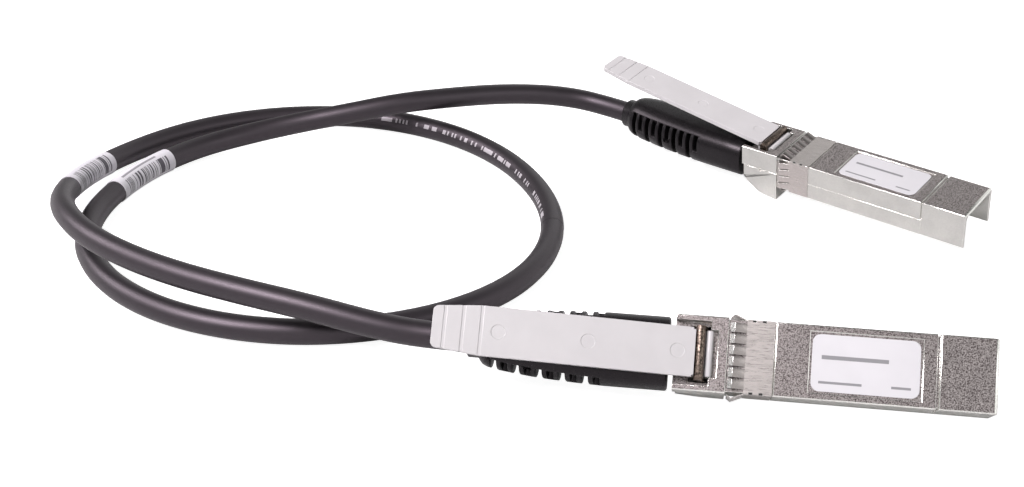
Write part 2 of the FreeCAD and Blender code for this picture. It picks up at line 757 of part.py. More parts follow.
def pull_tab(side, place):
    """Moulded strap whose hooked end wraps round the rocker's bar, with a rod behind it."""
    hinge = Placement(Vector(-size("bar_place"), 0, size("bar_level")),
                      Rotation(Vector(0, 1, 0), size(side + "_tab_lift")))
    body = new_piece(side + "_pull_tab", place * hinge)
    taper = "-tab_length + tab_taper"
    strap = [
        ("-tab_start", "-tab_width / 2"),
        ("-tab_start", "tab_width / 2"),
        (taper, "tab_width / 2"),
        ("-tab_length", "tab_end_width / 2"),
        ("-tab_length", "-tab_end_width / 2"),
        (taper, "-tab_width / 2"),
    ]
    add(body, "z", "-tab_sheet / 2", "tab_sheet / 2", polygon, strap)
    dress(body, "Fillet", "tab_sheet", lambda edge: runs_along(edge, "z")
          and edge.BoundBox.Center.x < -size("tab_length") + size("tab_taper") / 2)
    hook = [
        ("-tab_start - hook_overlap", "tab_sheet / 2"),
        ("-hook_inside", "tab_sheet / 2"),
        ("-hook_inside", "-hook_inside"),
        ("rod_place - rod_size / 2", "-hook_inside"),
        ("rod_place", "-rod_level"),
        ("rod_place + rod_size / 3", "-rod_level - rod_size / 3"),
        ("hook_depth", "-hook_depth + hook_round"),
        ("hook_depth - hook_round", "-hook_depth"),
        ("-hook_inside - hook_shoulder", "-hook_depth"),
        ("-hook_inside - hook_overlap", "-tab_sheet / 2"),
        ("-tab_start - hook_overlap", "-tab_sheet / 2"),
    ]
    add(body, "y", "-tab_throat / 2", "tab_throat / 2", polygon, hook)
    add(body, "y", "-tab_throat / 2", "tab_throat / 2", circle, "rod_place", "-rod_level", "rod_size")
    grip = cut(body, "x", "-tab_grip_place - tab_grip_width", "-tab_grip_place", rectangle,
               "-tab_width", "tab_width", "tab_sheet / 2 - tab_grip_depth", "tab_sheet")
    repeat(body, [grip], "X_Axis", "tab_grip_pitch", "tab_grip_count").Reversed = True
    mark = cut(body, "z", "tab_sheet / 2 - tab_mark_depth", "tab_sheet", circle,
               "-tab_mark_place", "0", "tab_mark_size")
    repeat(body, [mark], "X_Axis", "tab_mark_pitch", "tab_mark_count").Reversed = True
    return body


def boot(side, place):
    """Moulded strain relief: smooth behind the block, then slotted so that it can bend."""
    body = new_piece(side + "_boot", place)
    stations = [
        ("boot_gap", "boot_width", "boot_height", "boot_corner"),
        ("boot_smooth", "boot_width", "shoulder_height", "boot_corner"),
        ("boot_waist", "waist_width", "waist_height", "waist_corner"),
        ("dome_start", "dome_width", "dome_height", "dome_corner"),
        ("boot_length", "dome_end", "dome_end", "dome_end_corner"),
    ]
    sections = []
    for along, wide, tall, corner in stations:
        sketch = new_sketch(body, "x", "-block_length - (%s)" % along)
        rounded(sketch, wide, tall, corner, "axis_level")
        sections.append(sketch)
    loft = body.newObject("PartDesign::AdditiveLoft", body.Label + "_loft")
    loft.Profile = sections[0]
    loft.Sections = sections[1:]
    loft.Ruled = True
    body.Tip = loft
    rear = "-block_length - boot_length"
    add(body, "x", rear + " - neck_length", rear + " + overrun", circle, "0", "axis_level", "neck_size")
    add(body, "x", "-block_length - boot_gap - overrun", "-ferrule_start", circle, "0", "axis_level",
        "ferrule_size")
    wrap_slots(body)
    side_slots(body)
    return body


def wrap_slots(body):
    """Long slots round the sides and the bottom, open to a solid core."""
    top = "axis_level + boot_height / 2 - slot_bridge"
    outline = [
        ("-boot_width", top),
        ("-boot_width", "-boot_height"),
        ("boot_width", "-boot_height"),
        ("boot_width", top),
        ("slot_core", top),
        ("slot_core", "axis_level - slot_core"),
        ("-slot_core", "axis_level - slot_core"),
        ("-slot_core", top),
    ]
    start = "-block_length - slot_start"
    slot = cut(body, "x", start + " - slot_width", start, polygon, outline)
    repeat(body, [slot], "X_Axis", "slot_pitch", "slot_count").Reversed = True


def side_slots(body):
    """Short slots between the long ones, from the top edge to the middle of each side."""
    top = "axis_level + boot_height / 2 - slot_bridge"
    start = "-block_length - slot_start + slot_pitch / 2"
    for sign in ("", "-"):
        slot = cut(body, "x", start + " - side_slot_width", start, rectangle, sign + "side_slot_core",
                   sign + "boot_width", "axis_level - side_slot_reach", top)
        repeat(body, [slot], "X_Axis", "slot_pitch", "slot_count").Reversed = True


def plug(side):
    """Every piece of one plug, the fixed ones and the two that move."""
    place = plug_place(side)
    for make in (upper_shell, lower_shell, finger_collar, label_plate, circuit_card, contact_pads,
                 card_parts, wire_pairs, crimp_ferrule, latch_rocker, rocker_pins, latch_spring,
                 shell_screws, pull_tab, boot):
        make(side, place)


def cable_end(side, beyond):
    """The point at a boot's end, or further out along its axis."""
    along = size("block_length") + size("boot_length") + size("neck_length") + beyond
    return plug_place(side).multVec(Vector(-along, 0, size("axis_level")))


def bend_radius(before, corner, after):
    """The radius that a bend has where its arc takes 0.45 of the shorter run."""
    turn = (corner - before).getAngle(after - corner)
    return 0.45 * min((corner - before).Length, (after - corner).Length) / math.tan(turn / 2)


def rounded_path(points, radii):
    """Straight runs through the points, with a tangent arc of its own radius at each corner."""
    edges = []
    here = points[0]
    for before, corner, after, radius in zip(points, points[1:], points[2:], radii):
        back = (before - corner).normalize()
        ahead = (after - corner).normalize()
        half_turn = (math.pi - back.getAngle(ahead)) / 2
        reach = radius * math.tan(half_turn)
        start = corner + back * reach
        stop = corner + ahead * reach
        inward = (back + ahead).normalize()
        middle = corner + inward * (radius / math.cos(half_turn) - radius)
        edges.append(Part.LineSegment(here, start).toShape())
        edges.append(Part.Arc(start, middle, stop).toShape())
        here = stop
    edges.append(Part.LineSegment(here, points[-1]).toShape())
    return Part.Wire(edges)


def tube(path, diameter):
    start = path.Edges[0]
    ring = Part.Circle(start.Vertexes[0].Point, start.tangentAt(start.FirstParameter), diameter / 2)
    return path.makePipeShell([Part.Wire(ring.toShape())], True, True)


def free_piece(label, shape):
    piece = doc.addObject("Part::Feature", label)
    piece.Label = label
    piece.Shape = shape
    PIECES.append(piece)
    return piece


def cable():
    """The jacket from boot to boot, and the two labels wrapped round it."""
    origin = Vector(size("origin_across"), size("origin_deep"), size("origin_high"))
    free = [Vector(*spot) - origin for spot in ROUTE]
    points = [cable_end("near", 0), cable_end("near", size("lead_run"))]
    points += free
    points += [cable_end("far", size("lead_run")), cable_end("far", 0)]
    radii = [bend_radius(*three) for three in zip(points, points[1:], points[2:])]
    path = rounded_path(points, radii)
    jacket = tube(path, size("cable_size"))
    section = math.pi * size("cable_size") ** 2 / 4
    print("cable length %.1f, radii %s" % (path.Length, [round(radius, 1) for radius in radii]))
    print("jacket volume %.1f, section by length %.1f" % (jacket.Volume, section * path.Length))
    print("lowest point %.2f" % jacket.BoundBox.ZMin)
    free_piece("cable_jacket", jacket)
    for label, index in (("first_wrap_label", FIRST_WRAP_INDEX),
                         ("second_wrap_label", SECOND_WRAP_INDEX)):
        spot = index + 2
        run = [(points[spot - 1] + points[spot]) * 0.5, points[spot], points[spot + 1],
               (points[spot + 1] + points[spot + 2]) * 0.5]
        short_path = rounded_path(run, radii[spot - 1:spot + 1])
        outer = tube(short_path, size("cable_size") + 2 * size("wrap_sheet"))
        free_piece(label, outer.cut(tube(short_path, size("cable_size"))))


def check_pieces():
    for feature in CUTS:
        base = feature.BaseFeature
        if base and feature.Shape.Volume > base.Shape.Volume - 1e-6:
            raise RuntimeError("%s removes nothing" % feature.Label)
    for item in doc.Objects:
        if "Invalid" in item.State or "Error" in item.State:
            raise RuntimeError("%s failed: %s" % (item.Label, item.State))
    for piece in PIECES:
        if piece.Shape.isNull() or not piece.Shape.isValid():
            raise RuntimeError("%s has no sound shape" % piece.Label)


def write_pieces():
    os.makedirs("parts", exist_ok=True)
    for piece in PIECES:
        piece.Shape.exportStep("parts/%s.step" % piece.Label)


plug("near")
plug("far")
doc.recompute()
cable()
doc.recompute()
check_pieces()
write_pieces()
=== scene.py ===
import functools
import json
import math

import bmesh
import bpy
from mathutils import Matrix, Vector


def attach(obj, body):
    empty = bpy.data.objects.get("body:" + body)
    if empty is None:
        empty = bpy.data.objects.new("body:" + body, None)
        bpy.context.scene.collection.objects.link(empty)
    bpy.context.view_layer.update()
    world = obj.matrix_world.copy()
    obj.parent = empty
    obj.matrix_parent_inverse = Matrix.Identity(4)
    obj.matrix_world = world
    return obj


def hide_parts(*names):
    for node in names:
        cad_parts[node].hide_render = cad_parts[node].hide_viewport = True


bl_info = {
    "name": "Direct attach cable dresser",
    "version": (1, 0, 0),
    "blender": (4, 5, 0),
    "location": "View3D > Sidebar > Cable",
    "description": "Dresses the two plugs, their boots and tabs, and the cable between them",
    "category": "Object",
}

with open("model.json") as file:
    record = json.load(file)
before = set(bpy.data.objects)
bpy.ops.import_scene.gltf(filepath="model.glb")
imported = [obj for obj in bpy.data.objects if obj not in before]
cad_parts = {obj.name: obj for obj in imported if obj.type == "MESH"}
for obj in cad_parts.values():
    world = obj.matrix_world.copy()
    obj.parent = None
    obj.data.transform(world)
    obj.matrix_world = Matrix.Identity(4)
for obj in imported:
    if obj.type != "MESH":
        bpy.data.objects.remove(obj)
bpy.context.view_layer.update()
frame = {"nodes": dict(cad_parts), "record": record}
MM = 0.001
SIDES = ("near", "far")

# A curved facet's largest area and the angles between such facets. Points nearer than WELD are
# one. Edges above EDGE_ANGLE are rounded, and those above SHARP_ANGLE keep their crease.
LARGEST_FACET = 12e-6
FACET_ANGLES = (math.radians(1), math.radians(32))
WELD = 1e-6
EDGE_ANGLE = math.radians(35)
SHARP_ANGLE = math.radians(50)

# The cable's route between the boots, in metres, from the near plug's boot to the far one's.
# The first and last points are each boot's end, and the next ones in lie on its axis.
ROUTE = [
    (-0.054481, -0.051340, 0.007609), (-0.062406, -0.050297, 0.007288),
    (-0.072237, -0.049728, 0.008511), (-0.085237, -0.047228, 0.010411),
    (-0.098237, -0.043528, 0.011011), (-0.110737, -0.038428, 0.011011),
    (-0.122237, -0.032228, 0.011111), (-0.132837, -0.024028, 0.011111),
    (-0.140837, -0.013428, 0.010611), (-0.145837, -0.000828, 0.008311),
    (-0.147637, 0.013172, 0.005311), (-0.145837, 0.026972, 0.003511),
    (-0.140837, 0.038772, 0.002811), (-0.133237, 0.049372, 0.002811),
    (-0.123237, 0.058372, 0.002811), (-0.111237, 0.064772, 0.002811),
    (-0.098037, 0.068072, 0.002811), (-0.084437, 0.067872, 0.002811),
    (-0.071437, 0.063872, 0.002811), (-0.060037, 0.056472, 0.002811),
    (-0.050637, 0.046172, 0.002811), (-0.043837, 0.034072, 0.002811),
    (-0.039437, 0.020772, 0.002811), (-0.037937, 0.006972, 0.002811),
    (-0.039937, -0.006628, 0.002811), (-0.045337, -0.019128, 0.002811),
    (-0.053737, -0.029328, 0.002811), (-0.064637, -0.037228, 0.002811),
    (-0.077637, -0.042428, 0.002811), (-0.091537, -0.044228, 0.002811),
    (-0.105437, -0.042228, 0.002811), (-0.118237, -0.036628, 0.002811),
    (-0.128837, -0.027628, 0.002811), (-0.136237, -0.016028, 0.002811),
    (-0.139537, -0.004828, 0.002911), (-0.140037, 0.006172, 0.003011),
    (-0.137837, 0.018672, 0.003011), (-0.133137, 0.031172, 0.003011),
    (-0.125437, 0.042772, 0.003011), (-0.115237, 0.050572, 0.003711),
    (-0.102837, 0.055372, 0.005511), (-0.089637, 0.056772, 0.008311),
    (-0.077037, 0.059372, 0.010711), (-0.064437, 0.063772, 0.011111),
    (-0.052637, 0.069372, 0.010511), (-0.041637, 0.073772, 0.009311),
    (-0.032737, 0.075172, 0.008211), (-0.025003, 0.073142, 0.007425),
    (-0.018700, 0.068217, 0.007495),
]

# The points of the route that each wrapped label lies between, and its print: the middle and the
# half width of its bars and the place of its line, as shares of the girth.
WRAPS = {"first_wrap_label": (10, 11, (0.34, 0.14, 0.0)),
         "second_wrap_label": (36, 37, (0.30, 0.11, 0.47))}

# The points that the stretch with plain printed marks lies between.
PRINT_SPAN = (17, 23)


# Places on a plug

def mount(name):
    return next(item for item in frame["record"]["mounts"] if item["name"] == name)


def plug_matrix(side):
    """A plug's own frame: X to the nose, Z up through the label, zero at the shoulder."""
    sizes = bpy.context.scene.plug_sizes
    slide = mount(side + "_port_slide")
    along = Vector(slide["axis"]).normalized()
    up = -Vector(mount(side + "_body_underside")["axis"]).normalized()
    across = up.cross(along)
    base = Vector(slide["pos_m"]) - along * sizes.nose_end - up * (sizes.body_height / 2)
    turn = Matrix((along, across, up)).transposed().to_4x4()
    return Matrix.Translation(base) @ turn


# Making pieces

def put_in_scene(name, data):
    piece = bpy.data.objects.new(name, data)
    bpy.context.scene.collection.objects.link(piece)
    return piece


def mesh_piece(name, build, place=None):
    """A piece from a function that fills a bmesh, placed by a matrix."""
    mesh = bpy.data.meshes.new(name)
    shape = bmesh.new()
    build(shape)
    bmesh.ops.recalc_face_normals(shape, faces=shape.faces)
    shape.to_mesh(mesh)
    shape.free()
    if place is not None:
        mesh.transform(place)
    return put_in_scene(name, mesh)


def settle(piece):
    """Turns what the modifiers give into the piece's plain mesh."""
    depsgraph = bpy.context.evaluated_depsgraph_get()
    mesh = bpy.data.meshes.new_from_object(piece.evaluated_get(depsgraph))
    piece.modifiers.clear()
    piece.data = mesh


def round_edges(piece, width, angle=EDGE_ANGLE):
    bevel = piece.modifiers.new("Rounded edges", "BEVEL")
    bevel.width = width
    bevel.segments = 2
    bevel.limit_method = "ANGLE"
    bevel.angle_limit = angle
    bevel.use_clamp_overlap = False
    return bevel


def is_curved(face):
    """True for a facet of a curved surface, which meets a neighbour at a small angle."""
    angles = [edge.calc_face_angle(0.0) for edge in face.edges if len(edge.link_faces) == 2]
    curved = any(FACET_ANGLES[0] < angle < FACET_ANGLES[1] for angle in angles)
    return curved and face.calc_area() < LARGEST_FACET


def softened_copy(node, width, materials, bold_width=0.0, bold=None):
    """A copy of a CAD node with its flat faces joined and its edges rounded, that stands for it.

    Faces of the rounded edges get the second material, a brighter tone that paints their highlight. Edges
    that bold picks are rounded more.
    """
    mesh = frame["nodes"][node].data.copy()
    mesh.materials.clear()
    if mesh.has_custom_normals:
        mesh.attributes.remove(mesh.attributes["custom_normal"])
    shape = bmesh.new()
    shape.from_mesh(mesh)
    bmesh.ops.remove_doubles(shape, verts=shape.verts, dist=WELD)
    bmesh.ops.dissolve_degenerate(shape, dist=2 * WELD, edges=shape.edges)
    bmesh.ops.dissolve_limit(shape, angle_limit=math.radians(0.5), verts=shape.verts, edges=shape.edges)
    bmesh.ops.recalc_face_normals(shape, faces=shape.faces)
    weight = shape.edges.layers.float.new("bevel_weight_edge")
    widest = max(width, bold_width)
    for face in shape.faces:
        face.smooth = is_curved(face)
    for edge in shape.edges:
        if len(edge.link_faces) == 2 and edge.calc_face_angle(0.0) > EDGE_ANGLE:
            edge[weight] = bold_width / widest if bold and bold(edge) else width / widest
    shape.to_mesh(mesh)
    shape.free()
    for material in materials:
        mesh.materials.append(material)
    piece = put_in_scene(node + "_finished", mesh)
    bevel = round_edges(piece, widest)
    bevel.limit_method = "WEIGHT"
    # The rounded edges take the second, brighter material: a painted highlight.
    bevel.material = 1
    settle(piece)
    curved = [face.use_smooth or face.material_index == 1 for face in piece.data.polygons]
    piece.data.set_sharp_from_angle(angle=SHARP_ANGLE)
    piece.data.polygons.foreach_set("use_smooth", curved)
    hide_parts(node)
    return piece


def finish_piece(piece, body, slot, *materials):
    for material in materials:
        piece.data.materials.append(material)
    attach(piece, body)


# Shader groups shared by the finishes

def add_node(tree, kind, **settings):
    node = tree.nodes.new(kind)
    for key, value in settings.items():
        setattr(node, key, value)
    return node


def connect(tree, source, target):
    tree.links.new(source, target)


def set_inputs(node, values):
    for label, value in values.items():
        node.inputs[label].default_value = value


def new_group(name, inputs, outputs):
    """A shader group. Inputs are (label, kind, default) and the outputs, all values, are labels."""
    tree = bpy.data.node_groups.new(name, "ShaderNodeTree")
    for label, kind, value in inputs:
        socket = tree.interface.new_socket(label, in_out="INPUT", socket_type="NodeSocket" + kind)
        if value is not None:
            socket.default_value = value
    for label in outputs:
        tree.interface.new_socket(label, in_out="OUTPUT", socket_type="NodeSocketFloat")
    return tree, tree.nodes.new("NodeGroupInput").outputs, tree.nodes.new("NodeGroupOutput").inputs


def math_step(tree, operation, first, second=0.0):
    node = add_node(tree, "ShaderNodeMath", operation=operation)
    for socket, value in zip(node.inputs, (first, second)):
        if isinstance(value, float):
            socket.default_value = value
        else:
            connect(tree, value, socket)
    return node.outputs[0]


def map_range(tree, value, source, target=(0.0, 1.0), kind="SMOOTHSTEP"):
    """A value moved from one range to another, by an eased step or in a straight line."""
    node = add_node(tree, "ShaderNodeMapRange", interpolation_type=kind)
    connect(tree, value, node.inputs["Value"])
    set_inputs(node, dict(zip(("From Min", "From Max", "To Min", "To Max"), (*source, *target))))
    return node.outputs["Result"]


def noise(tree, place, scale, detail, roughness):
    node = add_node(tree, "ShaderNodeTexNoise")
    set_inputs(node, {"Detail": detail, "Roughness": roughness})
    connect(tree, place, node.inputs["Vector"])
    connect(tree, scale, node.inputs["Scale"])
    return node.outputs["Fac"]


def grain_group():
    """Fine pits and speckle of a cast or moulded surface, and slow clouds over it."""
    inputs = [("Place", "Vector", None), ("Size", "Float", 3000.0)]
    tree, entry, leave = new_group("Surface grain", inputs, ("Speckle", "Cloud", "Height"))
    fine = noise(tree, entry["Place"], entry["Size"], 3.0, 0.7)
    broad = noise(tree, entry["Place"], math_step(tree, "MULTIPLY", entry["Size"], 0.06), 3.0, 0.6)
    connect(tree, map_range(tree, fine, (0.36, 0.66)), leave["Speckle"])
    connect(tree, map_range(tree, broad, (0.3, 0.7)), leave["Cloud"])
    connect(tree, fine, leave["Height"])
    return tree


def brushed_group():
    """Long fine scratches along X."""
    inputs = [("Place", "Vector", None), ("Size", "Float", 9000.0), ("Stretch", "Vector", (0.05, 1.0, 1.0))]
    tree, entry, leave = new_group("Brushed lines", inputs, ("Lines", "Height"))
    stretched = add_node(tree, "ShaderNodeVectorMath", operation="MULTIPLY")
    connect(tree, entry["Place"], stretched.inputs[0])
    connect(tree, entry["Stretch"], stretched.inputs[1])
    lines = noise(tree, stretched.outputs[0], entry["Size"], 2.0, 0.6)
    connect(tree, map_range(tree, lines, (0.3, 0.7)), leave["Lines"])
    connect(tree, lines, leave["Height"])
    return tree


def bar_group():
    """1 inside a rectangle of the UV map, with its centre and half sizes as inputs."""
    inputs = [("UV", "Vector", None), ("Across", "Float", 0.5), ("Up", "Float", 0.5),
              ("Half width", "Float", 0.1), ("Half height", "Float", 0.05)]
    tree, entry, leave = new_group("Printed bar", inputs, ("Ink",))
    split = add_node(tree, "ShaderNodeSeparateXYZ")
    connect(tree, entry["UV"], split.inputs[0])
    inside = []
    for axis, centre, half in (("X", "Across", "Half width"), ("Y", "Up", "Half height")):
        away = math_step(tree, "SUBTRACT", split.outputs[axis], entry[centre])
        inside.append(math_step(tree, "LESS_THAN", math_step(tree, "ABSOLUTE", away), entry[half]))
    connect(tree, math_step(tree, "MULTIPLY", *inside), leave["Ink"])
    return tree


def stripes_group():
    """Bars of uneven width along U."""
    inputs = [("UV", "Vector", None), ("Count", "Float", 96.0), ("Share bare", "Float", 0.48)]
    tree, entry, leave = new_group("Uneven bars", inputs, ("Ink",))
    split = add_node(tree, "ShaderNodeSeparateXYZ")
    connect(tree, entry["UV"], split.inputs[0])
    step = math_step(tree, "MULTIPLY", split.outputs["X"], entry["Count"])
    chance = add_node(tree, "ShaderNodeTexWhiteNoise", noise_dimensions="1D")
    connect(tree, math_step(tree, "FLOOR", step), chance.inputs["W"])
    ink = math_step(tree, "GREATER_THAN", chance.outputs["Value"], entry["Share bare"])
    connect(tree, ink, leave["Ink"])
    return tree


@functools.cache
def shared_group(name):
    makers = {"grain": grain_group, "brushed": brushed_group, "bar": bar_group, "stripes": stripes_group}
    return makers[name]()


def group_node(tree, name, place, **values):
    """A node of a shared group, with its first input linked and others set by name."""
    node = add_node(tree, "ShaderNodeGroup", node_tree=shared_group(name))
    connect(tree, place, node.inputs[0])
    set_inputs(node, {key.replace("_", " "): value for key, value in values.items()})
    return node


# Materials

def new_material(name, metallic, roughness):
    material = bpy.data.materials.new(name)
    material.use_nodes = True
    tree = material.node_tree
    shader = tree.nodes["Principled BSDF"]
    set_inputs(shader, {"Metallic": metallic, "Roughness": roughness})
    return material, tree, shader


def places(tree):
    """The coordinates that a texture can follow, by name."""
    return add_node(tree, "ShaderNodeTexCoord").outputs


def mix_colour(tree, factor, first, second, blend="MIX"):
    node = add_node(tree, "ShaderNodeMix", data_type="RGBA", blend_type=blend)
    for socket, value in ((node.inputs[0], factor), (node.inputs[6], first), (node.inputs[7], second)):
        if isinstance(value, tuple):
            socket.default_value = (*value, 1.0)
        elif isinstance(value, float):
            socket.default_value = value
        else:
            connect(tree, value, socket)
    return node.outputs[2]


def finish_shader(tree, shader, colour, mask, roughness, height, depth):
    """Links a colour, a roughness that follows a mask, and a fine relief."""
    connect(tree, colour, shader.inputs["Base Color"])
    connect(tree, map_range(tree, mask, (0.0, 1.0), roughness, "LINEAR"), shader.inputs["Roughness"])
    relief = add_node(tree, "ShaderNodeBump")
    set_inputs(relief, {"Distance": depth, "Strength": 1.0})
    connect(tree, height, relief.inputs["Height"])
    connect(tree, relief.outputs[0], shader.inputs["Normal"])


def scaled(colour, factor):
    return tuple(channel * factor for channel in colour)


def metal(name, light, dark, roughness, size, depth):
    """Plated metal with a sandy speckle from dark to light, under slow clouds."""
    material, tree, shader = new_material(name, 1.0, roughness)
    grain = group_node(tree, "grain", places(tree)["Object"], Size=size).outputs
    speckle = mix_colour(tree, grain["Speckle"], dark, light)
    cloud = mix_colour(tree, grain["Cloud"], scaled(light, 0.80), light)
    colour = mix_colour(tree, 0.5, speckle, cloud, "MULTIPLY")
    finish_shader(tree, shader, colour, grain["Speckle"], (roughness + 0.08, roughness - 0.05),
                  grain["Height"], depth)
    return material


def brushed_metal(name, light, dark, side):
    """Plated spring sheet, brushed along one plug's body."""
    roughness, depth = 0.30, 0.01 * MM
    material, tree, shader = new_material(name, 1.0, roughness)
    turn = add_node(tree, "ShaderNodeMapping", vector_type="TEXTURE")
    turn.inputs["Rotation"].default_value = plug_matrix(side).to_euler()
    connect(tree, places(tree)["Object"], turn.inputs["Vector"])
    lines = group_node(tree, "brushed", turn.outputs[0]).outputs
    colour = mix_colour(tree, lines["Lines"], dark, light)
    finish_shader(tree, shader, colour, lines["Lines"], (roughness + 0.08, roughness - 0.06),
                  lines["Height"], depth)
    return material


def moulding(name, light, dark, roughness, size, depth, specular=0.5, tint=(1.0, 1.0, 1.0),
             draw=None, ink=None):
    """Plastic, rubber or film with fine grain and slow clouds, inked where a drawn mask says so."""
    material, tree, shader = new_material(name, 0.0, roughness)
    set_inputs(shader, {"Specular IOR Level": specular, "Specular Tint": (*tint, 1.0)})
    grain = group_node(tree, "grain", places(tree)["Object"], Size=size).outputs
    colour = mix_colour(tree, grain["Cloud"], dark, light)
    if draw:
        colour = mix_colour(tree, draw(tree, places(tree)["UV"]), colour, ink)
    finish_shader(tree, shader, colour, grain["Speckle"], (roughness + 0.05, roughness - 0.05),
                  grain["Height"], depth)
    return material


# Each finish has its light and dark tone, its roughness, its grain in waves per metre and its
# relief in metres, and its specular level where that isn't the usual one. Finishes whose tones a
# user sets are made where they are used.
METALS = {
    # The next finish, for the shells' rounded edges, is brighter than their faces: a painted highlight.
    "cast_edge_highlight": ((0.93, 0.93, 0.90), (0.84, 0.83, 0.80), 0.22, 3000.0, 3e-6),
    # The next finish, for the collars' rounded edges and bent finger lips, is brighter than the sheet: a
    # painted highlight.
    "collar_edge_highlight": ((0.90, 0.90, 0.88), (0.80, 0.79, 0.77), 0.22, 5200.0, 2e-6),
    # The next finish is darkened to near black to paint the dark surroundings that the latch's rounded bar
    # reflects: painted shade. The one after it is brighter and paints the highlight on the latch's rounded
    # edges.
    "latch_steel": ((0.40, 0.33, 0.285), (0.045, 0.036, 0.03), 0.40, 2600.0, 20e-6),
    "latch_edge_highlight": ((0.62, 0.55, 0.50), (0.30, 0.25, 0.22), 0.30, 2600.0, 6e-6),
    "screw_steel": ((0.60, 0.60, 0.60), (0.42, 0.42, 0.42), 0.30, 5200.0, 5e-6),
    "gold_contacts": ((0.90, 0.66, 0.26), (0.78, 0.54, 0.19), 0.26, 6000.0, 2e-6),
    "pair_foil": ((0.78, 0.79, 0.81), (0.58, 0.59, 0.61), 0.24, 1800.0, 20e-6),
    "ferrule_metal": ((0.66, 0.62, 0.54), (0.48, 0.44, 0.38), 0.33, 4200.0, 6e-6),
}
MOULDINGS = {
    # The next finish is near black: it paints the shade inside the collar band's notches.
    "notch_shade": ((0.018, 0.017, 0.017), (0.012, 0.011, 0.011), 0.6, 6000.0, 4e-6, 0.2),
    "circuit_board": ((0.020, 0.125, 0.060), (0.014, 0.10, 0.048), 0.34, 2500.0, 4e-6),
    "chip_body": ((0.030, 0.030, 0.032), (0.020, 0.020, 0.022), 0.5, 6000.0, 6e-6),
}


@functools.cache
def listed_finish(name):
    if name in METALS:
        return metal(name, *METALS[name])
    return moulding(name, *MOULDINGS[name])


# Plain bars of the plug's label, and where the marks of the jacket lie: centre along and across,
# half length and half width, as shares of the sheet.
LABEL_BARS = ((0.40, 0.60, 0.31, 0.035), (0.27, 0.16, 0.20, 0.022), (0.83, 0.16, 0.09, 0.022))
JACKET_BAR = (0.5, 0.33, 0.47, 0.032)
JACKET_MARKS = 160.0
LABEL_INK = (0.23, 0.23, 0.24)
WRAP_INK = (0.07, 0.063, 0.077)
WRAP_SHADE = (0.61, 0.595, 0.635)
JACKET_INK = (0.34, 0.325, 0.34)


def bar_mask(tree, uv, across, up, half_width, half_height):
    bar = group_node(tree, "bar", uv, Across=across, Up=up, Half_width=half_width, Half_height=half_height)
    return bar.outputs[0]


def label_print(tree, uv):
    """Three plain bars where a label has its lines of print."""
    ink, *others = (bar_mask(tree, uv, *bar) for bar in LABEL_BARS)
    for other in others:
        ink = math_step(tree, "MAXIMUM", ink, other)
    return ink


def wrap_print(band, band_half, line):
    """A mask of uneven bars and a paler plain line, over part of the cable's girth."""
    field, rule, paleness = (0.5, band, 0.40, band_half), (0.45, line, 0.33, 0.018), 0.7

    def draw(tree, uv):
        stripes = group_node(tree, "stripes", uv).outputs[0]
        bars = math_step(tree, "MULTIPLY", stripes, bar_mask(tree, uv, *field))
        plain = math_step(tree, "MULTIPLY", bar_mask(tree, uv, *rule), paleness)
        return math_step(tree, "MAXIMUM", bars, plain)

    return draw


def jacket_print(tree, uv):
    """A row of small uneven marks along one side of the jacket."""
    stripes = group_node(tree, "stripes", uv, Count=JACKET_MARKS).outputs[0]
    return math_step(tree, "MULTIPLY", stripes, bar_mask(tree, uv, *JACKET_BAR))


# Settings that a user would change

def amount(name, description, default, **kind):
    return bpy.props.FloatProperty(name=name, description=description, default=default, **kind)


def distance(name, description, millimetres):
    return amount(name, description, millimetres * MM, subtype="DISTANCE", precision=5)


def tone(name, description, default):
    return bpy.props.FloatVectorProperty(name=name, description=description, default=default,
                                         subtype="COLOR", size=3)


class PlugSizes(bpy.types.PropertyGroup):
    """Sizes of a plug, along it from the shoulder, across it, and up from its underside"""
    nose_end: distance("Nose", "Shoulder to nose", 47.5)
    body_height: distance("Body height", "Height of the slim body", 8.55)
    body_width: distance("Body width", "Width of the slim body", 13.5)
    groove_place: distance("Groove", "Middle of the groove across the top", 37.1)
    collar_end: distance("Collar end", "Shoulder to the band's front edge", 8.42)
    band_start: distance("Band start", "Shoulder to where the fingers begin", 3.3)
    edge_round: distance("Edge round", "Rounding of the small cast edges", 0.07)
    bold_round: distance("Bold round", "Rounding of the outer cast edges", 0.24)
    sheet_round: distance("Sheet edge round", "Rounding of sheet edges", 0.03)
    notch_place: distance("Notch", "Shoulder to the band's first notch", 4.2)
    notch_count: bpy.props.IntProperty(name="Notches", description="Along each edge", default=2)
    notch_pitch: distance("Notch pitch", "From notch to notch", 1.8)
    notch_length: distance("Notch length", "Along the plug", 0.7)
    notch_width: distance("Notch width", "In from the edge", 0.4)
    # A notch's floor is a dark plate of painted shade.
    notch_depth: distance("Notch floor", "Thickness of a notch's dark floor", 0.12)
    tab_round: distance("Tab edge round", "Rounding of the tab's edges", 0.05)
    label_start: distance("Label start", "Shoulder to the label", 15.0)
    label_length: distance("Label length", "Along the plug", 19.0)
    label_width: distance("Label width", "Across the plug", 10.3)
    label_corner: distance("Label corner", "Corner radius", 1.5)
    label_level: distance("Label level", "Underside of the label", 8.3)
    label_sheet: distance("Label sheet", "Thickness of the film", 0.12)


